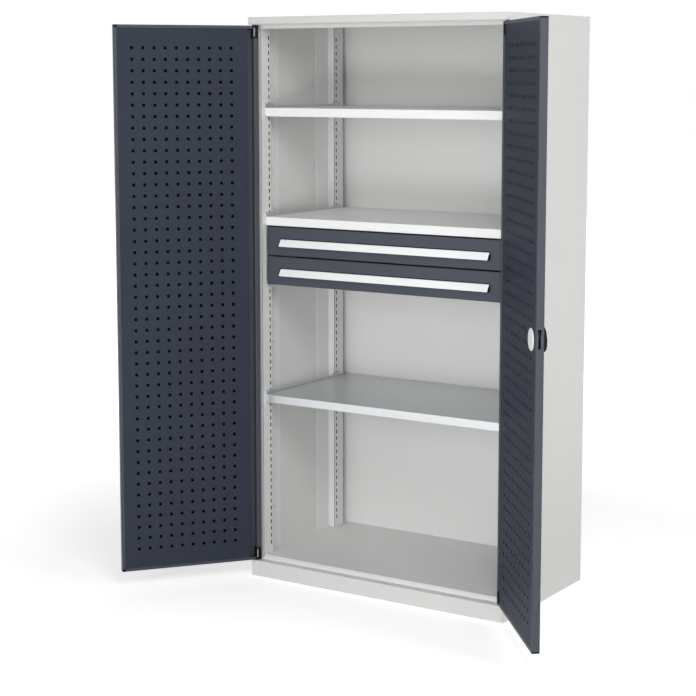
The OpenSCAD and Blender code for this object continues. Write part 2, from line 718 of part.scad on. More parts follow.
// Hinge blocks: black plastic in the ends of the hinge border, grooved so that the pin shows
module hinge_block() difference() {
    translate([door_sheet, door_sheet, door_sheet])
        round_sided_block(block_w - door_sheet, door_t - door_sheet, block_h - door_sheet,
                          door_edge_r - door_sheet);
    translate([hinge_in, hinge_v, 0]) cylinder(r = pin_r, h = block_h - groove_edge);
    span([hinge_in - pin_groove / 2, hinge_v, groove_edge],
         [hinge_in + pin_groove / 2, door_t + through, block_h - groove_edge]);
}
module left_door_hinge_blocks() color(black) left_door() at_both_ends() hinge_block();
module right_door_hinge_blocks() color(black) right_door() at_both_ends() hinge_block();
module hinge_pin() translate([hinge_in, hinge_v, -door_gap - pin_reach])
    cylinder(r = pin_r, h = door_gap + pin_reach + block_h - groove_edge);
module left_door_hinge_pins() color(zinc) left_door() at_both_ends() hinge_pin();
module right_door_hinge_pins() color(zinc) right_door() at_both_ends() hinge_pin();

// Plastic caps in the corners of a door's free edge
module corner_caps(h) color(black) intersection() {
    round_sided_block(door_w, door_t, door_h, door_edge_r);
    at_both_ends() span([door_w - cap_w, door_sheet, 0], [door_w, door_t, h]);
}
module left_door_corner_caps() left_door() corner_caps(left_cap_h);
module right_door_corner_caps() right_door() corner_caps(right_cap_h);

// The lock's own axis, pointing into the door from its outer face
module at_lock() translate([lock_u, 0, lock_z]) rotate([-90, 0, 0]) children();
// A slot for a lock rod through a flange that lies at the height z above the door's foot
module rod_slot(z)
    span([rod_u - rod_w / 2 - slip_gap, rod_v - slip_gap, z - through],
         [rod_u + rod_w / 2 + slip_gap, rod_v + rod_t + slip_gap, z + door_sheet + through]);

// Round dish let into the door's skin, with a rim over it
module handle_dish() color(black) right_door() at_lock() rotate_extrude() polygon([
    [spindle_r + run_gap, dish_depth - dish_wall], [cup_r - dish_wall, dish_depth - dish_wall],
    [cup_r - dish_wall, -dish_rim], [dish_r - dish_rim, -dish_rim], [dish_r, 0],
    [cup_r, 0], [cup_r, dish_depth], [spindle_r + run_gap, dish_depth]]);

// Lock case behind the dish, with channels for the spindle, the rods and the side bolt
module lock_case() color(zinc) right_door() difference() {
    span([lock_u - case_w / 2, dish_depth, lock_z - case_h / 2],
         [lock_u + case_w / 2, case_v1, lock_z + case_h / 2]);
    at_lock() translate([0, 0, dish_depth - through])
        cylinder(r = spindle_r + run_gap, h = spindle_end - dish_depth + through + body_gap);
    at_both_ends() span([rod_u - rod_w / 2 - body_gap, rod_v - body_gap, rod_z0 - through],
                        [rod_u + rod_w / 2 + body_gap, rod_v + rod_t + body_gap,
                         lock_z - case_h / 2 + rod_in_case + body_gap]);
    span([bolt_u0 - body_gap, bolt_v0 - body_gap, lock_z + bolt_low - body_gap],
         [lock_u + case_w, bolt_v0 + bolt_t + body_gap, lock_z + bolt_high + body_gap]);
}

// White disc over the lock on the inside of the door, snapped into the panel
module lock_cover() color(bright) right_door() at_lock() rotate_extrude() polygon([
    [0, case_v1], [cover_d / 2 - cover_rim, case_v1], [cover_d / 2 - cover_rim, door_t],
    [cover_d / 2, door_t], [cover_d / 2, door_t + cover_t / 2], [cover_d / 2 - cover_t, door_t + cover_t],
    [0, door_t + cover_t]]);

// Guides that hold the rods to the skin near the door's head and foot
module rod_guides() color(black) right_door() at_both_ends() difference() {
    span([rod_u - guide_w / 2, door_sheet, guide_from_end],
         [rod_u + guide_w / 2, rod_v + rod_t + dish_wall, guide_from_end + guide_h]);
    span([rod_u - rod_w / 2 - body_gap, rod_v - body_gap, 0],
         [rod_u + rod_w / 2 + body_gap, rod_v + rod_t + body_gap, 2 * guide_from_end + guide_h]);
}

// Turning handle: a base disc in the dish and a fin across it, fullest below the middle
function fin_bow(s) = sqrt(1 - s * s) * (1 - fin_skew * s);
function fin_front(s) = -fin_edge - (handle_out - fin_edge) * fin_bow(s) / fin_peak;
module fin_section() polygon(concat(
    [[handle_back, -handle_l / 2], [handle_back, handle_l / 2]],
    [for (k = [0 : fin_steps]) let (s = cos(180 * k / fin_steps)) [fin_front(s), s * handle_l / 2]]));
module fin_outline() {
    square([handle_w, handle_l - handle_w], center = true);
    for (s = [-1, 1]) translate([0, s * (handle_l - handle_w) / 2]) circle(handle_w / 2);
}
module turn_handle() color(black) right_door() difference() {
    union() {
        at_lock() translate([0, 0, handle_back / 2]) cylinder(r = base_r, h = handle_back / 2);
        intersection() {
            translate([lock_u, 0, lock_z]) along_x(-handle_w / 2, handle_w / 2) fin_section();
            at_lock() translate([0, 0, -2 * handle_out])
                linear_extrude(2 * handle_out + handle_back) fin_outline();
        }
    }
    at_lock() translate([0, 0, -dish_rim - body_gap]) difference() {
        cylinder(r = 2 * dish_r, h = 2 * dish_depth);
        translate([0, 0, -through]) cylinder(r = base_r, h = 2 * dish_depth + 2 * through);
    }
    translate([0, 0, plug_z]) at_lock() translate([0, 0, -2 * handle_out])
        cylinder(r = plug_r + run_gap, h = 2 * handle_out + plug_back + body_gap);
}
module lock_spindle() color(zinc) right_door() at_lock() translate([0, 0, handle_back])
    cylinder(r = spindle_r, h = spindle_end - handle_back);
module lock_plug() color(zinc) right_door() translate([0, 0, plug_z]) difference() {
    at_lock() translate([0, 0, plug_front]) cylinder(r = plug_r, h = plug_back - plug_front);
    translate([lock_u, plug_front, lock_z]) cube([keyway.x, 2 * keyway.y, keyway.z], center = true);
}

// Flat rods to the head and the foot of the door, and the bolt to the other door
module upper_rod() color(zinc) right_door() translate([0, 0, door_h]) mirror([0, 0, 1]) lock_rod();
module lower_rod() color(zinc) right_door() lock_rod();
module lock_rod() span([rod_u - rod_w / 2, rod_v, rod_z0],
                       [rod_u + rod_w / 2, rod_v + rod_t, lock_z - case_h / 2 + rod_in_case]);
module side_bolt() color(black) right_door()
    span([bolt_u0, bolt_v0, lock_z + bolt_low], [bolt_u1, bolt_v0 + bolt_t, lock_z + bolt_high]);

left_side_wall();
right_side_wall();
back_panel();
roof_panel();
header_rail();
floor_panel();
plinth_frame();
front_left_upright();
front_right_upright();
rear_left_upright();
rear_right_upright();
upright_screws();
hinge_bushes();
rod_keepers();
top_shelf();
middle_shelf();
lower_shelf();
top_shelf_supports();
middle_shelf_supports();
lower_shelf_supports();
upper_cabinet_runners();
lower_cabinet_runners();
upper_middle_runners();
lower_middle_runners();
upper_drawer_tray();
upper_drawer_front();
upper_drawer_grip_shell();
upper_drawer_grip_strip();
upper_drawer_runners();
lower_drawer_tray();
lower_drawer_front();
lower_drawer_grip_shell();
lower_drawer_grip_strip();
lower_drawer_runners();
left_door_leaf();
left_door_stiffener();
left_door_panel();
left_door_hinge_blocks();
left_door_hinge_pins();
left_door_corner_caps();
right_door_leaf();
right_door_stiffener();
right_door_panel();
right_door_hinge_blocks();
right_door_hinge_pins();
right_door_corner_caps();
handle_dish();
lock_case();
lock_cover();
rod_guides();
turn_handle();
lock_spindle();
lock_plug();
upper_rod();
lower_rod();
side_bolt();
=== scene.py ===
"""Visual model of a steel tool cabinet with two perforated doors, shelves, drawers and a rod lock.

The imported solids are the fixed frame. Each sub-assembly is a class that makes its finer pieces and
gives every solid of its own a finish. Lengths are in metres, +X to the right, +Y to the back and
+Z up.
"""

import sys

import logging
import math
from dataclasses import dataclass, replace
from enum import Enum
from typing import Any, Callable, Iterable

import bmesh
import bpy
from mathutils import Matrix, Vector


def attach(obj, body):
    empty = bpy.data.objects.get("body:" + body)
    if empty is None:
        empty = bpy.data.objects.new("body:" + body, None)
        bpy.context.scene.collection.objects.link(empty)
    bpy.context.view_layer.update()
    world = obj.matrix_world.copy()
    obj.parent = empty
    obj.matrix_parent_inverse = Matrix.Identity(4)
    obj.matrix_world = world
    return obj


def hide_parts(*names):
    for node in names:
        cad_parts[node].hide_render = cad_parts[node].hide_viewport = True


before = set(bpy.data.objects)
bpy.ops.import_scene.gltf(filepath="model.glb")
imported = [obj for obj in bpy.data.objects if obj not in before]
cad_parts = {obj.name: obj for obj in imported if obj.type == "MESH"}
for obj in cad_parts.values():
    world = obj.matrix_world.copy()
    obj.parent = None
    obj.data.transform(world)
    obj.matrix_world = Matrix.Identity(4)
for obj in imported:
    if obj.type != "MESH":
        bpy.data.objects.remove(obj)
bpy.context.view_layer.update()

MM = 0.001
WELD = 1e-6
NO_LENGTH = 1e-7
FLAT = math.radians(0.5)
ORIGIN = (0.0, 0.0, 0.0)
BROAD_PEBBLES, BROAD_SHARE = 0.27, 0.4
FAST_DRIFT, FAST_SHARE = 38.0, 0.25
SCUFF_LINES = ((0.5, (26.0, 26.0, 900.0)), (-0.7, (700.0, 700.0, 18.0)))
SCUFF_CRESTS, SCUFF_PATCHES = (0.66, 0.74), (0.5, 0.68)
DUSTY_SLOPES, DUST_FILM = (0.75, 1.0), (0.3, 0.8, 0.3)
STREAKS, STREAK_SHARE, STREAK_DEPTH = (40.0, 900.0, 900.0), 0.3, 0.00003
Colour = tuple[float, float, float]
Point = tuple[float, float, float]
Range = tuple[float, float]
Socket = bpy.types.NodeSocket
Node = bpy.types.Node
Piece = bpy.types.Object
BMesh = bmesh.types.BMesh
log = logging.getLogger("tool_cabinet")


def from_screen(*parts: int) -> Colour:
    """A screen colour as the linear colour of the shaders.

    Args:
        parts: Its red, green and blue, from 0 to 255.

    Returns:
        The linear colour.
    """
    shares = (part / 255 for part in parts)
    return tuple(share / 12.92 if share <= 0.04045 else ((share + 0.055) / 1.055) ** 2.4
                 for share in shares)


def new_socket(tree: bpy.types.NodeTree, name: str, way: str, kind: str) -> Any:
    """A new input or output of a node group."""
    return tree.interface.new_socket(name, in_out=way, socket_type=f"NodeSocket{kind}")


class Bench:
    """Places, sets and joins nodes in one tree, and knows where its textures are read."""

    def __init__(self, tree: bpy.types.NodeTree) -> None:
        """Works on a tree."""
        self.tree = tree
        self.where: Socket | None = None

    def add(self, kind: str, inputs: dict[Any, Any] | None = None, **settings: Any) -> Node:
        """Adds a node.

        Args:
            kind: The node's type name.
            inputs: A value or an output to join for each input, by name or number.
            settings: The node's own properties.

        Returns:
            The new node.
        """
        node = self.tree.nodes.new(kind)
        for key, value in settings.items():
            setattr(node, key, value)
        for key, value in (inputs or {}).items():
            self.feed(node.inputs[key], value)
        return node

    def feed(self, socket: Socket, value: Any) -> None:
        """Joins an output to a socket, or sets the socket's own value.

        Args:
            socket: The input socket.
            value: An output socket or a plain value, with no alpha for a colour.
        """
        if isinstance(value, Socket):
            self.tree.links.new(value, socket)
        else:
            socket.default_value = (*value, 1.0) if socket.type == "RGBA" else value

    def maths(self, operation: str, *values: Any, clamp: bool = False) -> Socket:
        """The result of a Math node on one to three numbers or outputs."""
        inputs = dict(enumerate(values))
        return self.add("ShaderNodeMath", inputs, operation=operation, use_clamp=clamp).outputs[0]

    def vectors(self, operation: str, *values: Any) -> Socket:
        """The result of a Vector Math node, which is a number for a length or a distance."""
        node = self.add("ShaderNodeVectorMath", dict(enumerate(values)), operation=operation)
        return node.outputs["Value" if operation in ("LENGTH", "DISTANCE") else "Vector"]

    def times(self, first: Any, *others: Any) -> Socket:
        """The product of two or more numbers.

        Args:
            first: The first number or output.
            others: The numbers or outputs that it is multiplied by.

        Returns:
            The product.
        """
        for other in others:
            first = self.maths("MULTIPLY", first, other)
        return first

    def blend(self, share: float, first: Any, second: Any) -> Socket:
        """Two numbers added, the second with a share of the sum and the first with the rest."""
        return self.maths("ADD", self.times(first, 1.0 - share), self.times(second, share))

    def between(self, value: Any, low: float, high: float, start: float = 0.0,
                end: float = 1.0) -> Socket:
        """A value mapped from low and high to start and end, and kept between them."""
        inputs = {"Value": value, "From Min": low, "From Max": high, "To Min": start, "To Max": end}
        return self.add("ShaderNodeMapRange", inputs).outputs["Result"]

    def parts(self, vector: Any) -> bpy.types.bpy_prop_collection:
        """The three numbers of a vector."""
        return self.add("ShaderNodeSeparateXYZ", {0: vector}).outputs

    def vector(self, x: Any = 0.0, y: Any = 0.0, z: Any = 0.0) -> Socket:
        """A vector from three numbers."""
        return self.add("ShaderNodeCombineXYZ", {"X": x, "Y": y, "Z": z}).outputs[0]

    def position(self) -> Socket:
        """Where each point of the geometry is."""
        return self.add("GeometryNodeInputPosition").outputs[0]

    def noise(self, scale: Any, detail: float, roughness: float = 0.5) -> Socket:
        """A noise around one half, from its waves in a metre and its finer layers."""
        inputs = {"Vector": self.where, "Scale": scale, "Detail": detail, "Roughness": roughness}
        return self.add("ShaderNodeTexNoise", inputs).outputs[0]

    def stretched(self, waves: Point, detail: float, roughness: float = 0.5,
                  turn: Point = ORIGIN) -> Socket:
        """A noise with its own number of waves in a metre along each axis.

        Args:
            waves: The waves in a metre along each axis.
            detail: Its finer layers.
            roughness: How strong the finer layers are.
            turn: How the axes are turned, in radians.

        Returns:
            A number around one half.
        """
        inputs = {"Vector": self.where, "Scale": waves, "Rotation": turn}
        own = Bench(self.tree)
        own.where = self.add("ShaderNodeMapping", inputs).outputs[0]
        return own.noise(1.0, detail, roughness)

    def mixed(self, share: Any, first: Any, second: Any) -> Socket:
        """Two colours mixed, with a share of the second."""
        inputs = {0: share, 6: first, 7: second}
        return self.add("ShaderNodeMix", inputs, data_type="RGBA").outputs[2]

    def bump(self, height: Socket, strength: float) -> Socket:
        """A normal from a height in metres, and how much of it shows."""
        inputs = {"Height": height, "Strength": strength, "Distance": 1.0}
        return self.add("ShaderNodeBump", inputs).outputs[0]

    def shape(self, kind: str, inputs: dict[Any, Any], **settings: Any) -> Socket:
        """The first output of a geometry node."""
        return self.add(f"GeometryNode{kind}", inputs, **settings).outputs[0]

    def grid(self, *measures: Any) -> Socket:
        """A flat grid around the origin, from its two sides and its points along each."""
        return self.shape("MeshGrid", dict(enumerate(measures)))

    def painted(self, shape: Socket, finish: Socket, chosen: Any = True) -> Socket:
        """A geometry with a material on its chosen faces."""
        inputs = {"Geometry": shape, "Selection": chosen, "Material": finish}
        return self.shape("SetMaterial", inputs)

    def joined(self, parts: Iterable[Socket]) -> Socket:
        """Several geometries as one.

        Args:
            parts: The geometries.

        Returns:
            The joined geometry.
        """
        node = self.add("GeometryNodeJoinGeometry")
        for part in parts:
            self.tree.links.new(part, node.inputs[0])
        return node.outputs[0]


def emptied(owner: bpy.types.Material | bpy.types.World) -> Bench:
    """Clears the nodes of a material or a world for new ones.

    Args:
        owner: The material or the world.

    Returns:
        A bench on its nodes.
    """
    owner.use_nodes = True
    owner.node_tree.nodes.clear()
    return Bench(owner.node_tree)


@dataclass(frozen=True)
class Effect:
    """A shader node group that is built once and used by several finishes."""

    name: str
    inputs: tuple[str, ...]
    outputs: tuple[str, ...]
    fill: Callable[[Bench, Any], tuple[Socket, ...]]

    def on(self, bench: Bench, **values: Any) -> list[Socket]:
        """Uses the group in a material.

        Args:
            bench: The material's bench.
            values: Values or outputs for the other inputs.

        Returns:
            The group's outputs.
        """
        tree = bpy.data.node_groups.get(self.name) or self.tree()
        node = bench.add("ShaderNodeGroup", node_tree=tree)
        for key, value in {"Vector": bench.where, **values}.items():
            bench.feed(node.inputs[key], value)
        return list(node.outputs)

    def tree(self) -> bpy.types.NodeTree:
        """Builds the group.

        Returns:
            The node tree.
        """
        tree = bpy.data.node_groups.new(self.name, "ShaderNodeTree")
        kinds = {"Vector": "Vector", "Colour": "Color"}
        for way, labels in (("INPUT", ("Vector", *self.inputs)), ("OUTPUT", self.outputs)):
            for label in labels:
                new_socket(tree, label, way, kinds.get(label, "Float"))
        bench = Bench(tree)
        source, sink = bench.add("NodeGroupInput"), bench.add("NodeGroupOutput")
        bench.where = source.outputs["Vector"]
        for label, result in zip(self.outputs, self.fill(bench, source.outputs)):
            bench.feed(sink.inputs[label], result)
        return tree


def fill_grain(bench: Bench, given: Any) -> tuple[Socket, ...]:
    """The pebbled skin of a powder coat: fine pebbles over larger ones.

    Args:
        bench: The group's bench.
        given: The group's inputs.

    Returns:
        The height in metres and the larger pebbles' tone.
    """
    fine, broad = (bench.noise(pebbles, detail=1.0, roughness=0.4) for pebbles in (
        given["Pebbles"], bench.times(given["Pebbles"], BROAD_PEBBLES)))
    return bench.times(bench.blend(BROAD_SHARE, fine, broad), given["Depth"]), broad


def fill_drift(bench: Bench, given: Any) -> tuple[Socket, ...]:
    """A large sheet's slow change of tone: two noises scale the colour's value.

    Args:
        bench: The group's bench.
        given: The group's inputs.

    Returns:
        The colour.
    """
    slow, fast = bench.noise(given["Waves"], detail=2.0), bench.noise(FAST_DRIFT, detail=3.0)
    drift = bench.blend(FAST_SHARE, slow, fast)
    away = bench.times(bench.maths("SUBTRACT", drift, 0.5), given["Spread"])
    inputs = {"Value": bench.maths("ADD", away, 1.0), "Color": given["Colour"]}
    return (bench.add("ShaderNodeHueSaturation", inputs).outputs["Color"],)


def fill_scuffs(bench: Bench, given: Any) -> tuple[Socket, ...]:
    """Sparse hairlines from handling: the crests of two stretched noises, in patches.

    Args:
        bench: The group's bench.
        given: The group's inputs.

    Returns:
        The mask.
    """
    lines = (bench.stretched(waves, detail=1.0, turn=(turn, turn, 0.0))
             for turn, waves in SCUFF_LINES)
    crest = bench.maths("MAXIMUM", *(bench.between(line, *SCUFF_CRESTS) for line in lines))
    patches = bench.between(bench.noise(scale=7.0, detail=2.0), *SCUFF_PATCHES)
    mask = bench.times(crest, patches)
    return (bench.maths("MULTIPLY", mask, given["Amount"], clamp=True),)


def fill_dust(bench: Bench, given: Any) -> tuple[Socket, ...]:
    """A thin film on faces that look up, broken up by a noise.

    Args:
        bench: The group's bench.
        given: The group's inputs.

    Returns:
        The mask.
    """
    up = bench.parts(bench.add("ShaderNodeNewGeometry").outputs["Normal"])["Z"]
    film = bench.between(bench.noise(scale=9.0, detail=4.0), *DUST_FILM)
    return (bench.times(bench.between(up, *DUSTY_SLOPES), film, given["Amount"]),)


def fill_zinc(bench: Bench, given: Any) -> tuple[Socket, ...]:
    """The crystals of zinc: a random tone for each one, and a fine streak over them.

    Args:
        bench: The group's bench.
        given: The group's inputs.

    Returns:
        The tone and the height in metres.
    """
    inputs = {"Vector": bench.where, "Scale": given["Crystals"], "Randomness": 1.0}
    cells = bench.add("ShaderNodeTexVoronoi", inputs).outputs["Color"]
    tone = bench.add("ShaderNodeSeparateColor", {0: cells}).outputs[0]
    streak = bench.stretched(STREAKS, detail=2.0)
    return bench.blend(STREAK_SHARE, tone, streak), bench.times(streak, STREAK_DEPTH)


POWDER_GRAIN = Effect("PowderGrain", ("Pebbles", "Depth"), ("Height", "Tone"), fill_grain)
TONE_DRIFT = Effect("ToneDrift", ("Colour", "Spread", "Waves"), ("Colour",), fill_drift)
SCUFFS = Effect("Scuffs", ("Amount",), ("Mask",), fill_scuffs)
SETTLED_DUST = Effect("SettledDust", ("Amount",), ("Mask",), fill_dust)
ZINC_FLOWERS = Effect("ZincFlowers", ("Crystals",), ("Tone", "Height"), fill_zinc)


@dataclass(frozen=True)
class Finish:
    """What every finish has: its name, the record's slot that it stands for and its looks."""

    name: str
    slot: str
    colour: Colour
    roughness: float = 0.5
    swing: Range = (0.0, 0.0)
    tones: Range = (0.3, 0.7)
    relief: float = 0.35
    spread: float = 0.05
    waves: float = 2.5
    scuffing: float = 0.25

    def material(self) -> bpy.types.Material:
        """The finish as a material, which is made at its first use.

        Returns:
            The material.
        """
        if self.name not in bpy.data.materials:
            material = bpy.data.materials.new(self.name)
            bench = emptied(material)
            shader = bench.add("ShaderNodeBsdfPrincipled")
            bench.add("ShaderNodeOutputMaterial", {"Surface": shader.outputs[0]})
            bench.where = bench.add("ShaderNodeTexCoord").outputs["Object"]
            for key, value in self.shade(bench).items():
                bench.feed(shader.inputs[key], value)
        return bpy.data.materials[self.name]

    def shade(self, bench: Bench) -> dict[str, Any]:
        """Values and outputs for the shader's inputs."""
        raise NotImplementedError

    def sheen(self, bench: Bench, tone: Socket) -> Socket:
        """The roughness, which swings around its middle with a tone."""
        return bench.between(tone, *self.tones, *(self.roughness + part for part in self.swing))

    def drift(self, bench: Bench) -> Socket:
        """The colour with its slow change of tone."""
        values = {"Colour": self.colour, "Spread": self.spread, "Waves": self.waves}
        return TONE_DRIFT.on(bench, **values)[0]

    def scuffed(self, bench: Bench, skin: Socket, rubbed: Colour) -> Socket:
        """A skin's colour with sparse hairlines in the rubbed colour."""
        return bench.mixed(SCUFFS.on(bench, Amount=self.scuffing)[0], skin, rubbed)


@dataclass(frozen=True)
class ShadedHollow:
    """The inside of a closed sheet profile, which is painted near black as shade."""

    low: Point
    high: Point
    origin: Point = ORIGIN
    turned: float = 0.0
    mirrored: bool = False

    def mask(self, bench: Bench) -> Any:
        """1 inside the hollow and 0 outside it.

        Args:
            bench: The material's bench.

        Returns:
            The mask.
        """
        turn = (0.0, 0.0, math.radians(self.turned))
        inputs = {"Vector": bench.where, "Location": self.origin, "Rotation": turn}
        own = bench.add("ShaderNodeMapping", inputs, vector_type="TEXTURE")
        inside: Any = 1.0
        for axis, part in enumerate(bench.parts(own.outputs[0])):
            if axis == 0 and self.mirrored:
                part = bench.maths("ABSOLUTE", part)
            inside = bench.times(inside, bench.maths("GREATER_THAN", part, self.low[axis]),
                                 bench.maths("LESS_THAN", part, self.high[axis]))
        return inside


@dataclass(frozen=True)
class PowderCoat(Finish):
    """Baked powder paint on sheet metal."""

    roughness: float = 0.42
    swing: Range = (-0.04, 0.05)
    specular: float = 0.5
    pebbles: float = 700.0
    depth: float = 0.00012
    dust: float = 0.12
    dust_colour: Colour = from_screen(196, 193, 187)
    dust_dulls: float = 0.6
    rubbed: Colour = (0.75, 0.75, 0.75)
    # Painted shade: the closed hollows that are painted near black, and that near-black colour.
    painted_shade: tuple[ShadedHollow, ...] = ()
    shade_colour: Colour = (0.006, 0.006, 0.007)

    def shade(self, bench: Bench) -> dict[str, Any]:
        """Values and outputs for the shader's inputs.

        Args:
            bench: The material's bench.

        Returns:
            A value or an output for each input.
        """
        height, tone = POWDER_GRAIN.on(bench, Pebbles=self.pebbles, Depth=self.depth)
        dust, = SETTLED_DUST.on(bench, Amount=self.dust)
        paint = self.scuffed(bench, self.drift(bench), self.rubbed)
        colour = bench.mixed(dust, paint, self.dust_colour)
        # Painted shade: near black inside each closed hollow.
        for hollow in self.painted_shade:
            colour = bench.mixed(hollow.mask(bench), colour, self.shade_colour)
        rough = bench.maths("ADD", self.sheen(bench, tone), bench.times(dust, self.dust_dulls))
        return {"Base Color": colour, "Roughness": rough, "Specular IOR Level": self.specular,
                "Normal": bench.bump(height, self.relief)}


@dataclass(frozen=True)
class MouldedPlastic(Finish):
    """Injection-moulded plastic with a fine spark-eroded grain."""

    roughness: float = 0.45
    swing: Range = (0.06, -0.05)
    tones: Range = (0.0, 0.8)
    relief: float = 0.4
    specular: float = 0.5
    grain: float = 1400.0
    depth: float = 0.00008
    spread: float = 0.06
    waves: float = 12.0
    scuffing: float = 0.2
    rub_gain: float = 2.2
    rub_lift: float = 0.02

    def shade(self, bench: Bench) -> dict[str, Any]:
        """Values and outputs for the shader's inputs.

        Args:
            bench: The material's bench.

        Returns:
            A value or an output for each input.
        """
        pores = bench.add("ShaderNodeTexVoronoi", {"Vector": bench.where, "Scale": self.grain})
        away = pores.outputs["Distance"]
        rubbed = tuple(min(1.0, self.rub_gain * part + self.rub_lift) for part in self.colour)
        return {"Base Color": self.scuffed(bench, self.drift(bench), rubbed),
                "Roughness": self.sheen(bench, away), "Specular IOR Level": self.specular,
                "Normal": bench.bump(bench.times(away, self.depth), self.relief)}


@dataclass(frozen=True)
class ZincSheet(Finish):
    """Zinc on steel: crystals on rolled sheet, or a finer plated skin on small parts."""

    metallic: float = 0.85
    roughness: float = 0.38
    swing: Range = (0.08, -0.06)
    tones: Range = (0.2, 0.8)
    relief: float = 0.3
    crystals: float = 120.0
    contrast: float = 0.22
    scuffing: float = 0.35
    rubbed: Colour = (0.9, 0.9, 0.9)

    def shade(self, bench: Bench) -> dict[str, Any]:
        """Values and outputs for the shader's inputs.

        Args:
            bench: The material's bench.

        Returns:
            A value or an output for each input.
        """
        tone, height = ZINC_FLOWERS.on(bench, Crystals=self.crystals)
        dark = tuple(part * (1 - self.contrast) for part in self.colour)
        light = tuple(min(1.0, part * (1 + 0.5 * self.contrast)) for part in self.colour)
        crystal = bench.mixed(bench.between(tone, *self.tones), dark, light)
        return {"Base Color": self.scuffed(bench, crystal, self.rubbed),
                "Roughness": self.sheen(bench, tone), "Metallic": self.metallic,
                "Normal": bench.bump(height, self.relief)}


@dataclass(frozen=True)
class DrawnAluminium(Finish):
    """A pale drawn profile with fine lines along its length."""

    metallic: float = 0.25
    roughness: float = 0.34
    swing: Range = (-0.05, 0.08)
    waves: float = 5.0
    lines: Point = (6.0, 2600.0, 2600.0)
    grooves: Range = (0.35, 0.65)
    groove_share: float = 0.35
    groove_tone: float = 0.86
    depth: float = 0.00004

    def shade(self, bench: Bench) -> dict[str, Any]:
        """Values and outputs for the shader's inputs.

        Args:
            bench: The material's bench.

        Returns:
            A value or an output for each input.
        """
        lines = bench.stretched(self.lines, detail=3.0, roughness=0.6)
        darker = tuple(self.groove_tone * part for part in self.colour)
        share = bench.between(lines, *self.grooves, self.groove_share, 0.0)
        return {"Base Color": bench.mixed(share, self.drift(bench), darker),
                "Roughness": self.sheen(bench, lines), "Metallic": self.metallic,
                "Normal": bench.bump(bench.times(lines, self.depth), self.relief)}


# Painted shade inside the uprights' closed hat sections, which shows through their slots.
UPRIGHT_SHADED_HOLLOWS = tuple(
    ShadedHollow((472.1 * MM, front * MM, 0.0), (0.5, back * MM, 2.0), mirrored=True)
    for front, back in ((-255.6, -197.0), (198.2, 257.0)))
LIGHT_GREY = PowderCoat("light_grey_coat", "light_grey_paint", from_screen(213, 213, 211),
                        roughness=0.36, painted_shade=UPRIGHT_SHADED_HOLLOWS)
# Painted shade: a darker copy of the light grey paint for the roof and its fascia, with heavy
# settled dust on top.
ROOF_SHADED_GREY = replace(LIGHT_GREY, name="roof_shaded_coat", colour=from_screen(203, 203, 201),
                    roughness=0.5, specular=0.25, dust=0.8, painted_shade=())
# Painted light: a lighter copy of the light grey paint for the inside, which keeps the painted shade
# in the uprights' hollows.
INNER_LIT_GREY = replace(LIGHT_GREY, name="inner_lit_coat", colour=from_screen(223, 223, 222))
PALE_GREY = PowderCoat("pale_grey_coat", "pale_grey_paint", from_screen(232, 233, 232),
                       roughness=0.3, dust=0.16)
DRAWER_FRONT = PowderCoat("anthracite_front_coat", "anthracite_paint", from_screen(64, 68, 77),
                          roughness=0.48, specular=0.28, spread=0.12, pebbles=900.0, dust=0.05,
                          scuffing=0.12, rubbed=(0.12, 0.125, 0.14))
DOOR_LEAF = replace(DRAWER_FRONT, name="anthracite_leaf_coat", colour=from_screen(61, 65, 73),
                    roughness=0.45, specular=0.26, spread=0.14, scuffing=0.14)
DOOR_PANEL = replace(DRAWER_FRONT, name="anthracite_panel_coat", colour=from_screen(50, 55, 67),
                     roughness=0.5, specular=0.06, spread=0.24, dust=0.03, scuffing=0.16,
                     rubbed=(0.1, 0.105, 0.12))
# Painted shade: near black on the walls of the holes and on the panel's outer edges.
PUNCHED_EDGE_SHADE = PowderCoat("punched_edge_shade", "anthracite_paint", from_screen(14, 15, 18),
                          specular=0.06, depth=0.00004, dust=0.0, scuffing=0.0)
GALVANISED = ZincSheet("galvanised_sheet", "galvanised_sheet", from_screen(222, 223, 222),
                       metallic=0.25, crystals=90.0, contrast=0.3)
ZINC = ZincSheet("bright_zinc", "zinc_plated", from_screen(206, 208, 211), metallic=0.45,
                 roughness=0.34, crystals=260.0, contrast=0.1)
DARK_ZINC = ZincSheet("dark_zinc", "zinc_plated", from_screen(34, 34, 37), metallic=0.3,
                      roughness=0.5, crystals=500.0, contrast=0.2)
# The hinge pins' zinc plating, made near white and hardly metallic: partly their bright plating and
# partly a painted highlight.
PIN_HIGHLIGHT_ZINC = ZincSheet("pin_highlight_zinc", "zinc_plated", from_screen(250, 250, 250), metallic=0.1,
                     roughness=0.25, crystals=500.0, contrast=0.05)
BLACK_PLASTIC = MouldedPlastic("black_moulding", "black_plastic", from_screen(9, 9, 11),
                               roughness=0.42, specular=0.12)
WHITE_PLASTIC = MouldedPlastic("white_moulding", "white_plastic", from_screen(247, 247, 248),
                               roughness=0.26, depth=0.00003, spread=0.02)
WHITE_PROFILE = DrawnAluminium("pale_profile", "white_aluminium", from_screen(246, 247, 248),
                               metallic=0.1)
BLACKENED = PowderCoat("blackened_skin", "blackened_steel", from_screen(14, 14, 15), roughness=0.46,
                       specular=0.2, spread=0.1, pebbles=1500.0, depth=0.00004, dust=0.03,
                       scuffing=0.3, rubbed=(0.06, 0.06, 0.065))


def dress(finish: Finish, *nodes: str) -> None:
    """Gives CAD nodes a finish.

    Args:
        finish: What they are made of.
        nodes: The nodes' names.
    """
    for name in nodes:
        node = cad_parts[name]
        if not node.material_slots:
            node.data.materials.append(None)
        for slot in node.material_slots:
            slot.material = finish.material()
        log.info("%s dressed in %s", name, finish.name)


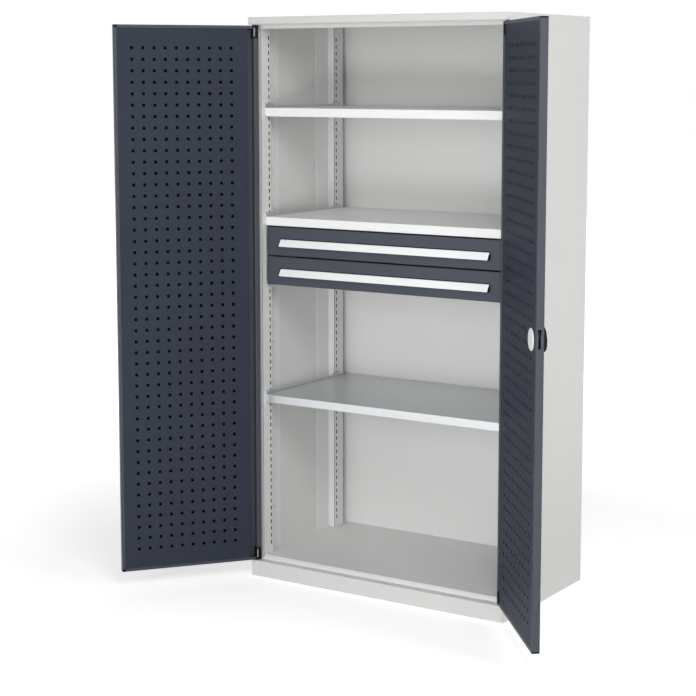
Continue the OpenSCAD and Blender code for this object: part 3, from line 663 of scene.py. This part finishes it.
def place(piece: Piece, finish: Finish, body: str, *replaced: str) -> None:
    """Makes a new piece part of the object.

    Args:
        piece: The mesh object, in place.
        finish: What it is made of.
        body: The CAD body that it rides on.
        replaced: The CAD nodes that it stands for.
    """
    if not piece.data.materials:
        piece.data.materials.append(finish.material())
    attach(piece, body)
    if replaced:
        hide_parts(*replaced)
    log.info("%s made, %d faces, on %s", piece.name, len(piece.data.polygons), body)


def new_object(name: str, data: bpy.types.ID) -> Piece:
    """Makes an object in the scene.

    Args:
        name: Its name.
        data: Its mesh, lamp or camera.

    Returns:
        The object.
    """
    piece = bpy.data.objects.new(name, data)
    bpy.context.scene.collection.objects.link(piece)
    return piece


def opened(mesh: bpy.types.Mesh) -> BMesh:
    """Opens a mesh for editing, with its loose triangles welded.

    Args:
        mesh: The mesh, which isn't changed.

    Returns:
        The edited mesh.
    """
    work = bmesh.new()
    work.from_mesh(mesh)
    bmesh.ops.remove_doubles(work, verts=work.verts, dist=WELD)
    return work


def closed(work: BMesh, mesh: bpy.types.Mesh) -> bpy.types.Mesh:
    """Writes an edited mesh back, which uses it up.

    Args:
        work: The edited mesh.
        mesh: The plain mesh that takes it.

    Returns:
        The plain mesh.
    """
    work.to_mesh(mesh)
    work.free()
    return mesh


def shaped(name: str, work: BMesh) -> Piece:
    """An object from an edited mesh, with its faces outwards."""
    bmesh.ops.recalc_face_normals(work, faces=work.faces)
    return new_object(name, closed(work, bpy.data.meshes.new(name)))


def applied(piece: Piece) -> None:
    """Puts the result of a piece's modifiers into its mesh and takes them off.

    Args:
        piece: The object.
    """
    evaluated = piece.evaluated_get(bpy.context.evaluated_depsgraph_get())
    mesh = bpy.data.meshes.new_from_object(evaluated)
    piece.modifiers.clear()
    piece.data = mesh


def combine(piece: Piece, tool: Piece, operation: str) -> None:
    """Joins a closed shell to a piece, or cuts it out of it, and removes the shell.

    Args:
        piece: The piece that is changed.
        tool: The shell.
        operation: UNION or DIFFERENCE.
    """
    modifier = piece.modifiers.new("shape", "BOOLEAN")
    modifier.object, modifier.operation, modifier.solver = tool, operation, "EXACT"
    applied(piece)
    bpy.data.objects.remove(tool)


def settle(piece: Piece, matrix: Matrix, smooth_below: float) -> None:
    """Puts a piece's place into its mesh, with its faces outwards and its soft edges smooth.

    Args:
        piece: The object.
        matrix: Where the mesh goes, in the row frame.
        smooth_below: Edges flatter than this many degrees are shaded smooth.
    """
    piece.data.transform(matrix)
    work = opened(piece.data)
    bmesh.ops.dissolve_degenerate(work, dist=NO_LENGTH, edges=work.edges)
    bmesh.ops.recalc_face_normals(work, faces=work.faces)
    for face in work.faces:
        face.smooth = True
    for edge in work.edges:
        soft = edge.calc_face_angle(math.pi) < math.radians(smooth_below)
        edge.smooth = len(edge.link_faces) == 2 and soft
    closed(work, piece.data)


@dataclass(frozen=True)
class Easing:
    """Rounds the sharp edges of a solid: widely on its folds and narrowly on thin rims."""

    fold: float = 1.2 * MM
    rim: float = 0.3 * MM
    thin: float = 4.0 * MM
    sharp: float = 30.0
    segments: int = 2

    def depth(self, face: bmesh.types.BMFace, edge: bmesh.types.BMEdge) -> float:
        """How far a face reaches away from one of its edges."""
        start, along = edge.verts[0].co, (edge.verts[1].co - edge.verts[0].co).normalized()
        return max((vert.co - start).cross(along).length for vert in face.verts)

    def run(self, piece: Piece) -> None:
        """Rounds a piece's edges.

        Args:
            piece: The object, whose mesh is changed.
        """
        work = opened(piece.data)
        bmesh.ops.dissolve_limit(work, angle_limit=FLAT, verts=work.verts, edges=work.edges)
        bmesh.ops.recalc_face_normals(work, faces=work.faces)
        weight = work.edges.layers.float.new("bevel_weight_edge")
        for face in work.faces:
            face.smooth = True
        for edge in work.edges:
            if len(edge.link_faces) == 2 and edge.calc_face_angle() > math.radians(self.sharp):
                least = min(self.depth(face, edge) for face in edge.link_faces)
                edge[weight] = 1.0 if least > self.thin else self.rim / self.fold
        closed(work, piece.data)
        bevel = piece.modifiers.new("ease", "BEVEL")
        bevel.width, bevel.segments, bevel.limit_method = self.fold, self.segments, "WEIGHT"
        bevel.use_clamp_overlap = False
        piece.modifiers.new("shade", "WEIGHTED_NORMAL").keep_sharp = True
        applied(piece)


def ease_edges(finish: Finish, body: str, *nodes: str) -> None:
    """Stands a copy with rounded edges in the place of each CAD node.

    Args:
        finish: What the nodes are made of.
        body: The CAD body that they ride on.
        nodes: The nodes' names.
    """
    for name in nodes:
        piece = new_object(f"{name}_eased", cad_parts[name].data.copy())
        piece.data.materials.clear()
        Easing().run(piece)
        place(piece, finish, body, name)


class Recipe:
    """A Geometry Nodes tree with named inputs, which makes one plain mesh at a time."""

    def __init__(self, name: str, results: Iterable[str] = ("Geometry",)) -> None:
        """Starts an empty tree.

        Args:
            name: The tree's name.
            results: The names of its geometry outputs.
        """
        self.tree = bpy.data.node_groups.new(name, "GeometryNodeTree")
        self.bench = Bench(self.tree)
        for label in results:
            new_socket(self.tree, label, "OUTPUT", "Geometry")
        self.source, self.sink = (self.bench.add(f"NodeGroup{end}") for end in ("Input", "Output"))
        self.identifiers: dict[str, str] = {}

    def inputs(self, kind: str, *names: str) -> list[Socket]:
        """Adds named inputs of one kind.

        Args:
            kind: Their socket type without its first words, such as Float.
            names: Their names.

        Returns:
            The outputs of the group's input node for them.
        """
        for name in names:
            self.identifiers[name] = new_socket(self.tree, name, "INPUT", kind).identifier
        return [self.source.outputs[name] for name in names]

    def make(self, name: str, values: dict[str, Any]) -> Piece:
        """Runs the tree once, into a plain mesh.

        Args:
            name: The new object's name.
            values: The inputs' values.

        Returns:
            The object, with no modifier left on it.
        """
        piece = new_object(name, bpy.data.meshes.new(name))
        modifier = piece.modifiers.new("recipe", "NODES")
        modifier.node_group = self.tree
        for key, value in values.items():
            modifier[self.identifiers[key]] = value
        applied(piece)
        return piece


class PerforatedSheet:
    """Geometry Nodes for a sheet with a grid of square holes whose punched edges are eased and whose
    cut walls are painted near black as shade.
    """

    LINES = 6
    MIDDLE = (LINES - 1) / 2
    INNER_RING = 0.6
    OUTER_RING = 2.4
    CENTRE = 0.3
    CUT_FACING = 0.3
    CLOSE = 2e-6

    def __init__(self) -> None:
        """Builds both trees."""
        self.window = self._window_plate()
        self.sheet = self._sheet()

    def _window_plate(self) -> Recipe:
        """One plate with a window in it.

        Returns:
            A tree whose inputs are two corners of the plate, two of its window and the eased edge,
            and whose outputs are the plate, the window's walls and the plate's own edges.
        """
        recipe = Recipe("WindowPlate", ("Plate", "Window Walls", "Outer Walls"))
        bench = recipe.bench
        corners = recipe.inputs("Vector", "Low", "Window Low", "Window High", "High")
        ease, thick = recipe.inputs("Float", "Ease", "Thickness")
        has_hole, = recipe.inputs("Bool", "Open")
        x, y, _ = bench.parts(bench.position())
        ring = bench.maths("MAXIMUM", *(bench.maths("ABSOLUTE", part) for part in (x, y)))
        span = self.LINES - 1
        marks, flags = bench.grid(span, span, self.LINES, self.LINES), []
        for mark in (bench.maths("LESS_THAN", ring, self.INNER_RING),
                     bench.maths("GREATER_THAN", ring, self.OUTER_RING)):
            capture = bench.add("GeometryNodeCaptureAttribute", {0: marks}, domain="POINT")
            capture.capture_items.new("BOOLEAN", "mark")
            bench.feed(capture.inputs[1], mark)
            marks = capture.outputs[0]
            flags.append(capture.outputs[1])
        far = bench.vectors("LENGTH", bench.position())
        centre = bench.times(bench.maths("LESS_THAN", far, self.CENTRE), has_hole)
        holed = bench.shape("DeleteGeometry", {"Geometry": marks, "Selection": centre},
                            domain="FACE")
        sunk = bench.times(flags[0], ease, -1.0, has_hole)
        lines = (self._line(bench, part, corners, ease) for part in (x, y))
        plate = bench.shape("SetPosition", {"Geometry": holed,
                                            "Position": bench.vector(*lines, sunk)})
        bench.feed(recipe.sink.inputs["Plate"], plate)
        wall = bench.maths("SUBTRACT", bench.times(ease, 2.0), thick)
        for label, flag, depth in (("Window Walls", flags[0], wall),
                                   ("Outer Walls", flags[1], bench.times(thick, -1.0))):
            sides = bench.add("GeometryNodeExtrudeMesh", {
                "Mesh": plate, "Selection": flag, "Offset": bench.vector(z=depth),
                "Offset Scale": 1.0}, mode="EDGES").outputs
            only = bench.shape("SeparateGeometry", {0: sides["Mesh"], 1: sides["Side"]},
                               domain="FACE")
            bench.feed(recipe.sink.inputs[label], only)
        return recipe

    def _line(self, bench: Bench, part: Socket, corners: list[Socket], ease: Socket) -> Socket:
        """Where the plate's grid lines lie along one axis.

        Args:
            bench: The tree's bench.
            part: The plain grid's coordinate on that axis.
            corners: The low and high corners of the plate, with the window's between them.
            ease: Width of the eased edge.

        Returns:
            The coordinate of each line.
        """
        low, window_low, window_high, high = (bench.parts(corner)[part.name]
                                              for corner in corners)
        switch = bench.add("GeometryNodeIndexSwitch", data_type="FLOAT")
        while len(switch.index_switch_items) < self.LINES:
            switch.index_switch_items.new()
        number = bench.maths("ROUND", bench.maths("ADD", part, self.MIDDLE))
        for key, value in enumerate((
                number, low, bench.maths("SUBTRACT", window_low, ease), window_low, window_high,
                bench.maths("ADD", window_high, ease), high)):
            bench.feed(switch.inputs[key], value)
        return switch.outputs[0]

    def _both_faces(self, bench: Bench, walls: str, **values: Any) -> Socket:
        """A window plate with its walls, and the same plate turned over behind it.

        Args:
            bench: The tree's bench.
            walls: Which of its walls are used, or nothing.
            values: The window plate's inputs, with _ for a space.

        Returns:
            The joined geometry.
        """
        plate = bench.add("GeometryNodeGroup", node_tree=self.window.tree)
        for key, value in values.items():
            bench.feed(plate.inputs[key.replace("_", " ")], value)
        parts = [plate.outputs["Plate"]]
        back = bench.shape("Transform", {
            "Geometry": parts[0], "Scale": (1.0, 1.0, -1.0),
            "Translation": bench.vector(z=bench.times(values["Thickness"], -1.0))})
        parts.append(bench.shape("FlipFaces", {0: back}))
        return bench.joined(parts + [plate.outputs[walls]] if walls else parts)

    def _sheet(self) -> Recipe:
        """The whole sheet.

        Returns:
            A tree that lays one cell on each point of a grid, plain cells near the lock, and a
            border.
        """
        recipe = Recipe("PerforatedSheet")
        bench = recipe.bench
        columns, rows = recipe.inputs("Int", "Columns", "Rows")
        pitch, hole, ease, thick, reach = recipe.inputs(
            "Float", "Pitch", "Hole", "Ease", "Thickness", "Spared Reach")
        low, high, first, spared = recipe.inputs(
            "Vector", "Low", "High", "First Hole", "Spared Point")
        finish, edge_shade = recipe.inputs("Material", "Finish", "Edge Shade")

        def corner(size: Socket, sign: float) -> Socket:
            """A corner of a centred square."""
            half = bench.times(size, 0.5 * sign)
            return bench.vector(half, half)

        sides = [bench.times(bench.maths("SUBTRACT", count, 1.0), pitch)
                 for count in (columns, rows)]
        halves = bench.vector(*(bench.times(side, 0.5) for side in sides))
        middle = bench.vectors("ADD", first, halves)
        points = bench.shape("Transform", {
            "Geometry": bench.grid(*sides, columns, rows), "Translation": middle})
        away = bench.vectors("DISTANCE", bench.position(), spared)
        clear = bench.maths("GREATER_THAN", away, reach)
        pieces = []
        for chosen, has_hole in ((clear, True), (bench.maths("SUBTRACT", 1.0, clear), False)):
            cell = self._both_faces(
                bench, "Window Walls" if has_hole else "", Open=has_hole, Ease=ease,
                Thickness=thick, Low=corner(pitch, -1.0), High=corner(pitch, 1.0),
                Window_Low=corner(hole, -1.0), Window_High=corner(hole, 1.0))
            pieces.append(bench.shape("InstanceOnPoints", {
                "Points": points, "Selection": chosen, "Instance": cell}))
        half_cell = corner(pitch, 1.0)
        pieces.append(self._both_faces(
            bench, "Outer Walls", Open=True, Ease=0.0, Thickness=thick, Low=low, High=high,
            Window_Low=bench.vectors("SUBTRACT", first, half_cell),
            Window_High=bench.vectors("ADD", bench.vectors("ADD", middle, halves), half_cell)))
        real = bench.shape("RealizeInstances", {0: bench.joined(pieces)})
        merged = bench.shape("MergeByDistance", {"Geometry": real, "Distance": self.CLOSE})
        # Painted shade: faces that stand across the sheet, the walls of the holes and of its outer
        # edge, get the near-black edge material.
        facing = bench.parts(bench.add("GeometryNodeInputNormal").outputs[0])[2]
        cut = bench.maths("LESS_THAN", bench.maths("ABSOLUTE", facing), self.CUT_FACING)
        done = bench.painted(bench.painted(merged, finish), edge_shade, cut)
        bench.feed(recipe.sink.inputs["Geometry"], done)
        return recipe


class SubAssembly:
    """A group of pieces that belong together."""

    def build(self) -> None:
        """Makes the pieces that are finer than their solids, where there are any."""

    def dress(self) -> None:
        """Gives the solids their finishes."""


class Side(Enum):
    """Which door: its name."""

    LEFT = "left"
    RIGHT = "right"

    @property
    def sign(self) -> int:
        """-1 on the left and 1 on the right."""
        return 1 if self is Side.RIGHT else -1


@dataclass
class Door(SubAssembly):
    """A folded door with a perforated panel inside, hinged on pins near its hinge edge."""

    side: Side
    open_by: float
    sheets: PerforatedSheet
    hinge_x: float = 486.5 * MM
    hinge_y: float = -276.5 * MM
    foot_z: float = 59.0 * MM
    hinge_in: float = 13.0 * MM
    thickness: float = 25.0 * MM
    panel_low: Point = (40.0 * MM, 10.5 * MM, 0.0)
    panel_high: Point = (487.0 * MM, 1852.5 * MM, 0.0)
    panel_thickness: float = 1.0 * MM
    first_hole: Point = (96.0 * MM, 76.5 * MM, 0.0)
    columns: int = 10
    rows: int = 46
    pitch: float = 38.0 * MM
    hole: float = 10.0 * MM
    ease: float = 0.35 * MM
    lock_point: Point = (438.0 * MM, 931.5 * MM, 0.0)
    lock_reach: float = 44.0 * MM
    free_border: float = 9.9 * MM
    skin: float = 0.6 * MM
    crisp: float = 1.0

    @property
    def body(self) -> str:
        """The CAD body that the door is."""
        return f"{self.side.value}_door"

    @property
    def hinge(self) -> Point:
        """The foot of the hinge's axis."""
        return self.side.sign * self.hinge_x, self.hinge_y, self.foot_z

    def placed(self) -> Matrix:
        """From the closed door's own axes to the row frame, with the door open.

        Returns:
            The matrix for points given from the hinge edge, the outer face and the foot.
        """
        turn = Matrix.Rotation(math.radians(self.side.sign * self.open_by), 4, "Z")
        hand = Matrix.Diagonal((-self.side.sign, 1.0, 1.0, 1.0))
        inwards = Matrix.Translation((-self.hinge_in, -self.thickness / 2, 0.0))
        return Matrix.Translation(self.hinge) @ turn @ hand @ inwards

    def build(self) -> None:
        """Makes the perforated panel with its eased holes."""
        upright = Matrix(((1, 0, 0, 0), (0, 0, 1, self.thickness), (0, 1, 0, 0), (0, 0, 0, 1)))
        sheet = self.sheets.sheet.make(f"{self.body}_perforated_sheet", {
            "Columns": self.columns, "Rows": self.rows, "Pitch": self.pitch, "Hole": self.hole,
            "Ease": self.ease, "Thickness": self.panel_thickness, "Low": self.panel_low,
            "High": self.panel_high, "First Hole": self.first_hole,
            "Spared Point": self.lock_point,
            "Spared Reach": self.lock_reach if self.side is Side.RIGHT else 0.0,
            "Finish": DOOR_PANEL.material(), "Edge Shade": PUNCHED_EDGE_SHADE.material()})
        settle(sheet, self.placed() @ upright, self.crisp)
        place(sheet, DOOR_PANEL, self.body, f"{self.body}_panel")

    def leaf_finish(self) -> PowderCoat:
        """The leaf's paint, with a near-black painted shade in the closed space behind the
        perforated panel.

        Returns:
            The finish of this door's leaf.
        """
        sign = self.side.sign
        reaches = (self.panel_low[0], self.panel_high[0] + self.free_border)
        across = sorted(-sign * (reach - self.hinge_in) for reach in reaches)
        deep = self.thickness / 2 - self.skin
        # Painted shade in the door's closed cavity, which shows through the panel's holes.
        hollow = ShadedHollow((across[0], -deep, self.panel_low[1]),
                        (across[1], deep, self.panel_high[1]), self.hinge, sign * self.open_by)
        return replace(DOOR_LEAF, name=f"{self.side.value}_leaf_coat", painted_shade=(hollow,))

    def dress(self) -> None:
        """Gives the door's solids their finishes."""
        dress(self.leaf_finish(), f"{self.body}_leaf", f"{self.body}_stiffener")
        dress(BLACK_PLASTIC, f"{self.body}_hinge_blocks", f"{self.body}_corner_caps")
        dress(PIN_HIGHLIGHT_ZINC, f"{self.body}_hinge_pins")


@dataclass
class LockSet(SubAssembly):
    """The turning handle in its dish, the lock behind it and the rods to the head and foot."""

    door: Door
    length: float = 82.0 * MM
    width: float = 24.0 * MM
    proud: float = 22.5 * MM
    edge_proud: float = 11.0 * MM
    skew: float = 0.25
    back: float = 7.7 * MM
    base_radius: float = 36.5 * MM
    base_front: float = 3.85 * MM
    plug_height: float = 22.0 * MM
    bore_radius: float = 5.3 * MM
    bore_floor: float = 4.0 * MM
    crown_round: float = 0.3
    rim_ease: float = 0.6 * MM
    around: int = 64
    rings: int = 10
    crest_steps: int = 100
    smooth_below: float = 50.0

    def rise(self, share: float) -> float:
        """How full the fin is at a share of its half length, from -1 at its foot to 1."""
        return math.sqrt(max(0.0, 1 - share * share)) * (1 - self.skew * share)

    def fin_front(self, share: float) -> float:
        """How far in front of the door's face the fin stands.

        Args:
            share: The share of its half length, from -1 at its foot to 1.

        Returns:
            The distance.
        """
        shares = (2 * step / self.crest_steps - 1 for step in range(self.crest_steps + 1))
        crest = max(map(self.rise, shares))
        return self.edge_proud + (self.proud - self.edge_proud) * self.rise(share) / crest

    def fin_point(self, turn: float, reach: float, level: float | None) -> Point:
        """A point on the fin.

        Args:
            turn: The angle round it in radians.
            reach: Its share of the way from the middle to the outline.
            level: 0 at the edge of the front and 1 at its middle, or None on the back.

        Returns:
            The place across, outwards and up.
        """
        across, up = math.cos(turn) * self.width / 2, math.sin(turn) * self.width / 2
        if abs(math.sin(turn)) > WELD:
            up += math.copysign((self.length - self.width) / 2, math.sin(turn))
        across, up = across * reach, up * reach
        if level is None:
            return across, -self.back, up
        front = self.fin_front(math.copysign(min(1.0, abs(up) / (self.length / 2)), up))
        sunk = self.crown_round * self.edge_proud * (1 - math.sin(math.pi / 2 * level))
        return across, front - sunk, up

    def fin(self) -> BMesh:
        """The fin as a closed shell, in the lock's own axes: across, outwards and up.

        Returns:
            The mesh.
        """
        work = bmesh.new()
        turns = [2 * math.pi * step / self.around for step in range(self.around)]
        levels = [(1.0, None)] + [(math.cos(math.pi / 2 * step / self.rings), step / self.rings)
                                  for step in range(self.rings)]
        rings = [[work.verts.new(self.fin_point(turn, reach, level)) for turn in turns]
                 for reach, level in levels]
        for first, second in zip(rings, rings[1:]):
            for here in range(self.around):
                after = (here + 1) % self.around
                work.faces.new((first[here], first[after], second[after], second[here]))
        for ring in (rings[0], rings[-1]):
            work.faces.new(ring)
        return work

    def disc(self, radius: float, low: float, high: float, up: float = 0.0) -> BMesh:
        """A round bar across the lock's face, with a narrow eased rim at its outer end.

        Args:
            radius: Its radius.
            low, high: Where it starts and ends, outwards from the door's face.
            up: How far it is over the lock's axis.

        Returns:
            The mesh.
        """
        work = bmesh.new()
        lying = Matrix.Rotation(math.radians(-90), 4, "X")
        bmesh.ops.create_cone(work, cap_ends=True, segments=self.around, radius1=radius,
                              radius2=radius, depth=high - low,
                              matrix=Matrix.Translation((0, (low + high) / 2, up)) @ lying)
        outer = high - self.rim_ease / 2
        rim = [edge for edge in work.edges if all(vert.co.y > outer for vert in edge.verts)]
        bmesh.ops.bevel(work, geom=rim, offset=self.rim_ease, segments=2, profile=0.5,
                        affect="EDGES")
        return work

    def build(self) -> None:
        """Makes the turning handle: the fin on its disc, bored for the lock plug."""
        handle = shaped("turning_handle", self.fin())
        disc = self.disc(self.base_radius, -self.back, -self.base_front)
        combine(handle, shaped("disc", disc), "UNION")
        bore = self.disc(self.bore_radius, -self.bore_floor, 2 * self.proud, self.plug_height)
        combine(handle, shaped("bore", bore), "DIFFERENCE")
        outward = Matrix.Diagonal((1.0, -1.0, 1.0, 1.0))
        lock = Matrix.Translation((self.door.lock_point[0], 0.0, self.door.lock_point[1]))
        settle(handle, self.door.placed() @ lock @ outward, self.smooth_below)
        place(handle, BLACK_PLASTIC, "turn_handle", "turn_handle")

    def dress(self) -> None:
        """Gives the lock's solids their finishes."""
        dress(BLACK_PLASTIC, "handle_dish", "rod_guides")
        dress(WHITE_PLASTIC, "lock_cover")
        dress(ZINC, "lock_spindle", "lock_plug")
        dress(DARK_ZINC, "lock_case", "upper_rod", "lower_rod")
        dress(BLACKENED, "side_bolt")


@dataclass
class Carcass(SubAssembly):
    """The folded steel body with its roof, floor, plinth and slotted uprights."""

    wall_x: float = 500.0 * MM
    flange_face: float = 2.4 * MM
    fixing_rows: tuple[float, ...] = (-156.27 * MM, 97.6 * MM)
    lowest: float = 220.0 * MM
    pitch: float = 300.0 * MM
    count: int = 6
    head_radius: float = 4.0 * MM
    head_height: float = 1.6 * MM
    dimple: float = 0.35
    dimple_edge: Range = (0.9, 0.97)
    head_facets: tuple[int, int] = (20, 12)
    skirt: float = -0.05
    fullness: float = 0.6
    smooth_below: float = 60.0

    def fixing_recipe(self) -> Recipe:
        """A tree that sets domed heads in a row.

        Returns:
            A tree with the head's sizes, the row's start, its pitch and its count as inputs.
        """
        recipe = Recipe("FlangeFixings")
        bench = recipe.bench
        radius, height, dimple = recipe.inputs("Float", "Radius", "Height", "Dimple")
        start, step = recipe.inputs("Vector", "Start", "Step")
        count, = recipe.inputs("Int", "Count")
        turned, = recipe.inputs("Rotation", "Turned")
        finish, = recipe.inputs("Material", "Finish")
        segments, rings = self.head_facets
        ball = bench.shape("MeshUVSphere", {"Segments": segments, "Rings": rings, "Radius": 1.0})
        x, y, z = bench.parts(bench.position())
        dome = bench.shape("DeleteGeometry", {
            "Geometry": ball, "Selection": bench.maths("LESS_THAN", z, self.skirt)},
            domain="POINT")
        hollow = bench.times(bench.between(z, *self.dimple_edge), dimple)
        crown = bench.maths("POWER", bench.maths("MAXIMUM", z, 0.0), self.fullness)
        top = bench.times(bench.maths("SUBTRACT", crown, hollow), height)
        head = bench.shape("SetPosition", {"Geometry": dome, "Position": bench.vector(
            bench.times(x, radius), bench.times(y, radius), top)})
        row = bench.shape("MeshLine", {"Count": count, "Start Location": start, "Offset": step})
        laid = bench.shape("InstanceOnPoints", {"Points": row, "Instance": head,
                                                "Rotation": turned})
        real = bench.shape("RealizeInstances", {0: laid})
        bench.feed(recipe.sink.inputs["Geometry"], bench.painted(real, finish))
        return recipe

    def build(self) -> None:
        """Makes the domed heads along the uprights' wall flanges, as one mesh."""
        recipe = self.fixing_recipe()
        heads = bmesh.new()
        for sign in (-1, 1):
            for y in self.fixing_rows:
                row = recipe.make("fixings", {
                    "Radius": self.head_radius, "Height": self.head_height,
                    "Dimple": self.dimple, "Step": (0.0, 0.0, self.pitch), "Count": self.count,
                    "Start": (sign * (self.wall_x - self.flange_face), y, self.lowest),
                    "Turned": (0.0, -sign * math.pi / 2, 0.0), "Finish": ZINC.material()})
                heads.from_mesh(row.data)
                bpy.data.objects.remove(row)
        fixings = shaped("upright_fixings", heads)
        settle(fixings, Matrix(), self.smooth_below)
        place(fixings, ZINC, "cabinet", "upright_screws")

    def dress(self) -> None:
        """Gives the carcass's solids their finishes."""
        dress(LIGHT_GREY, "left_side_wall", "right_side_wall", "header_rail", "plinth_frame")
        dress(INNER_LIT_GREY, "back_panel", "floor_panel", "front_left_upright",
              "front_right_upright", "rear_left_upright", "rear_right_upright")
        ease_edges(ROOF_SHADED_GREY, "cabinet", "roof_panel")
        dress(BLACK_PLASTIC, "hinge_bushes")
        dress(ZINC, "rod_keepers")


@dataclass
class Shelves(SubAssembly):
    """Three shelves on hooked supports."""

    names: tuple[str, ...] = ("top", "middle", "lower")

    def dress(self) -> None:
        """Gives the shelves and their supports their finishes."""
        for name in self.names:
            finish = GALVANISED if name == "lower" else PALE_GREY
            ease_edges(finish, "cabinet", f"{name}_shelf")
            dress(GALVANISED, f"{name}_shelf_supports")


@dataclass
class Drawer(SubAssembly):
    """A drawer on telescopic runners, with a sloping grip strip over a black trough."""

    name: str

    def dress(self) -> None:
        """Gives the drawer's solids their finishes."""
        ease_edges(DRAWER_FRONT, f"{self.name}_drawer", f"{self.name}_drawer_front")
        dress(LIGHT_GREY, f"{self.name}_drawer_tray")
        dress(BLACK_PLASTIC, f"{self.name}_drawer_grip_shell")
        dress(WHITE_PROFILE, f"{self.name}_drawer_grip_strip")
        dress(ZINC, *(f"{self.name}_{member}_runners"
                      for member in ("drawer", "cabinet", "middle")))


@dataclass(frozen=True)
class Softbox:
    """A soft studio lamp."""

    name: str
    place: Point
    target: Point
    size: Range
    power: float

    def light(self) -> None:
        """Hangs the lamp in its place."""
        data = bpy.data.lights.new(self.name, "AREA")
        data.shape = "RECTANGLE"
        data.size, data.size_y = self.size
        data.energy = self.power
        lamp = new_object(self.name, data)
        lamp.location = self.place
        aim = Vector(self.target) - Vector(self.place)
        lamp.rotation_euler = aim.to_track_quat("-Z", "Y").to_euler()
        log.info("%s hung", self.name)


@dataclass
class Studio:
    """A pale floor, a white backdrop, soft lamps and the camera."""

    camera_place: Point = (3.0062, -5.07, 1.7626)
    yaw: float = 32.978
    pitch: float = -7.265
    roll: float = 0.008
    lens: float = 89.04
    shift_y: float = -0.08
    sensor: float = 36.0
    clip: Range = (0.05, 100.0)
    floor_reach: float = 14.0
    ambient: float = 0.32
    floor_diffuse: float = 0.8
    floor_glow: float = 0.5
    glow_near: float = 1.3
    glow_far: float = 3.6
    lamps: tuple[Softbox, ...] = (
        Softbox("side_softbox", (3.6, -0.7, 2.0), (0.4, 0.0, 1.1), (1.0, 1.6), 40.0),
        Softbox("high_softbox", (2.6, -2.9, 3.4), (0.1, -0.2, 0.8), (1.6, 1.6), 66.0),
        Softbox("front_softbox", (0.3, -6.5, 2.2), (0.0, 0.0, 1.0), (3.0, 2.0), 100.0),
        Softbox("low_softbox", (1.9, -4.6, 0.45), (0.0, 0.0, 0.5), (1.6, 0.8), 60.0),
        Softbox("rear_softbox", (-2.8, 4.2, 2.4), (0.0, 0.0, 1.0), (2.2, 1.8), 30.0),
    )

    def seen(self, bench: Bench) -> Socket:
        """Which rays look at the studio and aren't lit by it.

        Args:
            bench: The bench of the material or the world.

        Returns:
            1 for camera, glossy and transmission rays, and 0 for the rest.
        """
        path = bench.add("ShaderNodeLightPath").outputs
        either = bench.maths("MAXIMUM", path["Is Camera Ray"], path["Is Glossy Ray"])
        return bench.maths("MAXIMUM", either, path["Is Transmission Ray"])

    def backdrop(self) -> None:
        """A white world to look at and a softer one to light by."""
        world = bpy.data.worlds.new("backdrop")
        bpy.context.scene.world = world
        bench = emptied(world)
        seen, lit = (bench.add("ShaderNodeBackground", {
            "Color": (1.0, 1.0, 1.0), "Strength": strength}).outputs[0]
            for strength in (1.0, self.ambient))
        mix = bench.add("ShaderNodeMixShader", {0: self.seen(bench), 1: lit, 2: seen})
        bench.add("ShaderNodeOutputWorld", {"Surface": mix.outputs[0]})

    def floor(self) -> None:
        """A pale floor that looks white and keeps the object's shadow."""
        corners = [(x * self.floor_reach, y * self.floor_reach, 0.0)
                   for x, y in ((-1, -1), (1, -1), (1, 1), (-1, 1))]
        mesh = bpy.data.meshes.new("studio_floor")
        mesh.from_pydata(corners, [], [(0, 1, 2, 3)])
        floor = new_object("studio_floor", mesh)
        material = bpy.data.materials.new("studio_floor")
        bench = emptied(material)
        matt = bench.add("ShaderNodeBsdfDiffuse", {"Color": (self.floor_diffuse,) * 3})
        where = bench.add("ShaderNodeTexCoord").outputs["Object"]
        away = bench.vectors("LENGTH", where)
        strength = bench.between(away, self.glow_near, self.glow_far, self.floor_glow, 1.0)
        glow = bench.add("ShaderNodeEmission", {
            "Strength": bench.times(self.seen(bench), strength)})
        both = bench.add("ShaderNodeAddShader", {0: matt.outputs[0], 1: glow.outputs[0]})
        bench.add("ShaderNodeOutputMaterial", {"Surface": both.outputs[0]})
        mesh.materials.append(material)

    def camera(self) -> None:
        """The camera at the photograph's place."""
        data = bpy.data.cameras.new("camera")
        data.lens, data.shift_y = self.lens, self.shift_y
        data.sensor_width = self.sensor
        data.clip_start, data.clip_end = self.clip
        camera = new_object("camera", data)
        turn = (Matrix.Rotation(math.radians(self.yaw), 4, "Z")
                @ Matrix.Rotation(math.radians(90.0 + self.pitch), 4, "X")
                @ Matrix.Rotation(math.radians(-self.roll), 4, "Z"))
        camera.matrix_world = Matrix.Translation(self.camera_place) @ turn
        bpy.context.scene.camera = camera

    def set_up(self) -> None:
        """Makes the whole studio."""
        bpy.context.scene.view_settings.view_transform = "Standard"
        self.backdrop()
        self.floor()
        self.camera()
        for lamp in self.lamps:
            lamp.light()


def main() -> None:
    """Builds and dresses the cabinet, one sub-assembly after the other."""
    logging.basicConfig(level=logging.INFO, format="%(message)s", stream=sys.stdout)
    Studio().set_up()
    sheets = PerforatedSheet()
    left = Door(Side.LEFT, 128.0, sheets)
    right = Door(Side.RIGHT, 130.0, sheets)
    for part in (Carcass(), Shelves(), Drawer("upper"), Drawer("lower"), left, right,
                 LockSet(right)):
        part.build()
        part.dress()


if __name__ == "__main__":
    main()
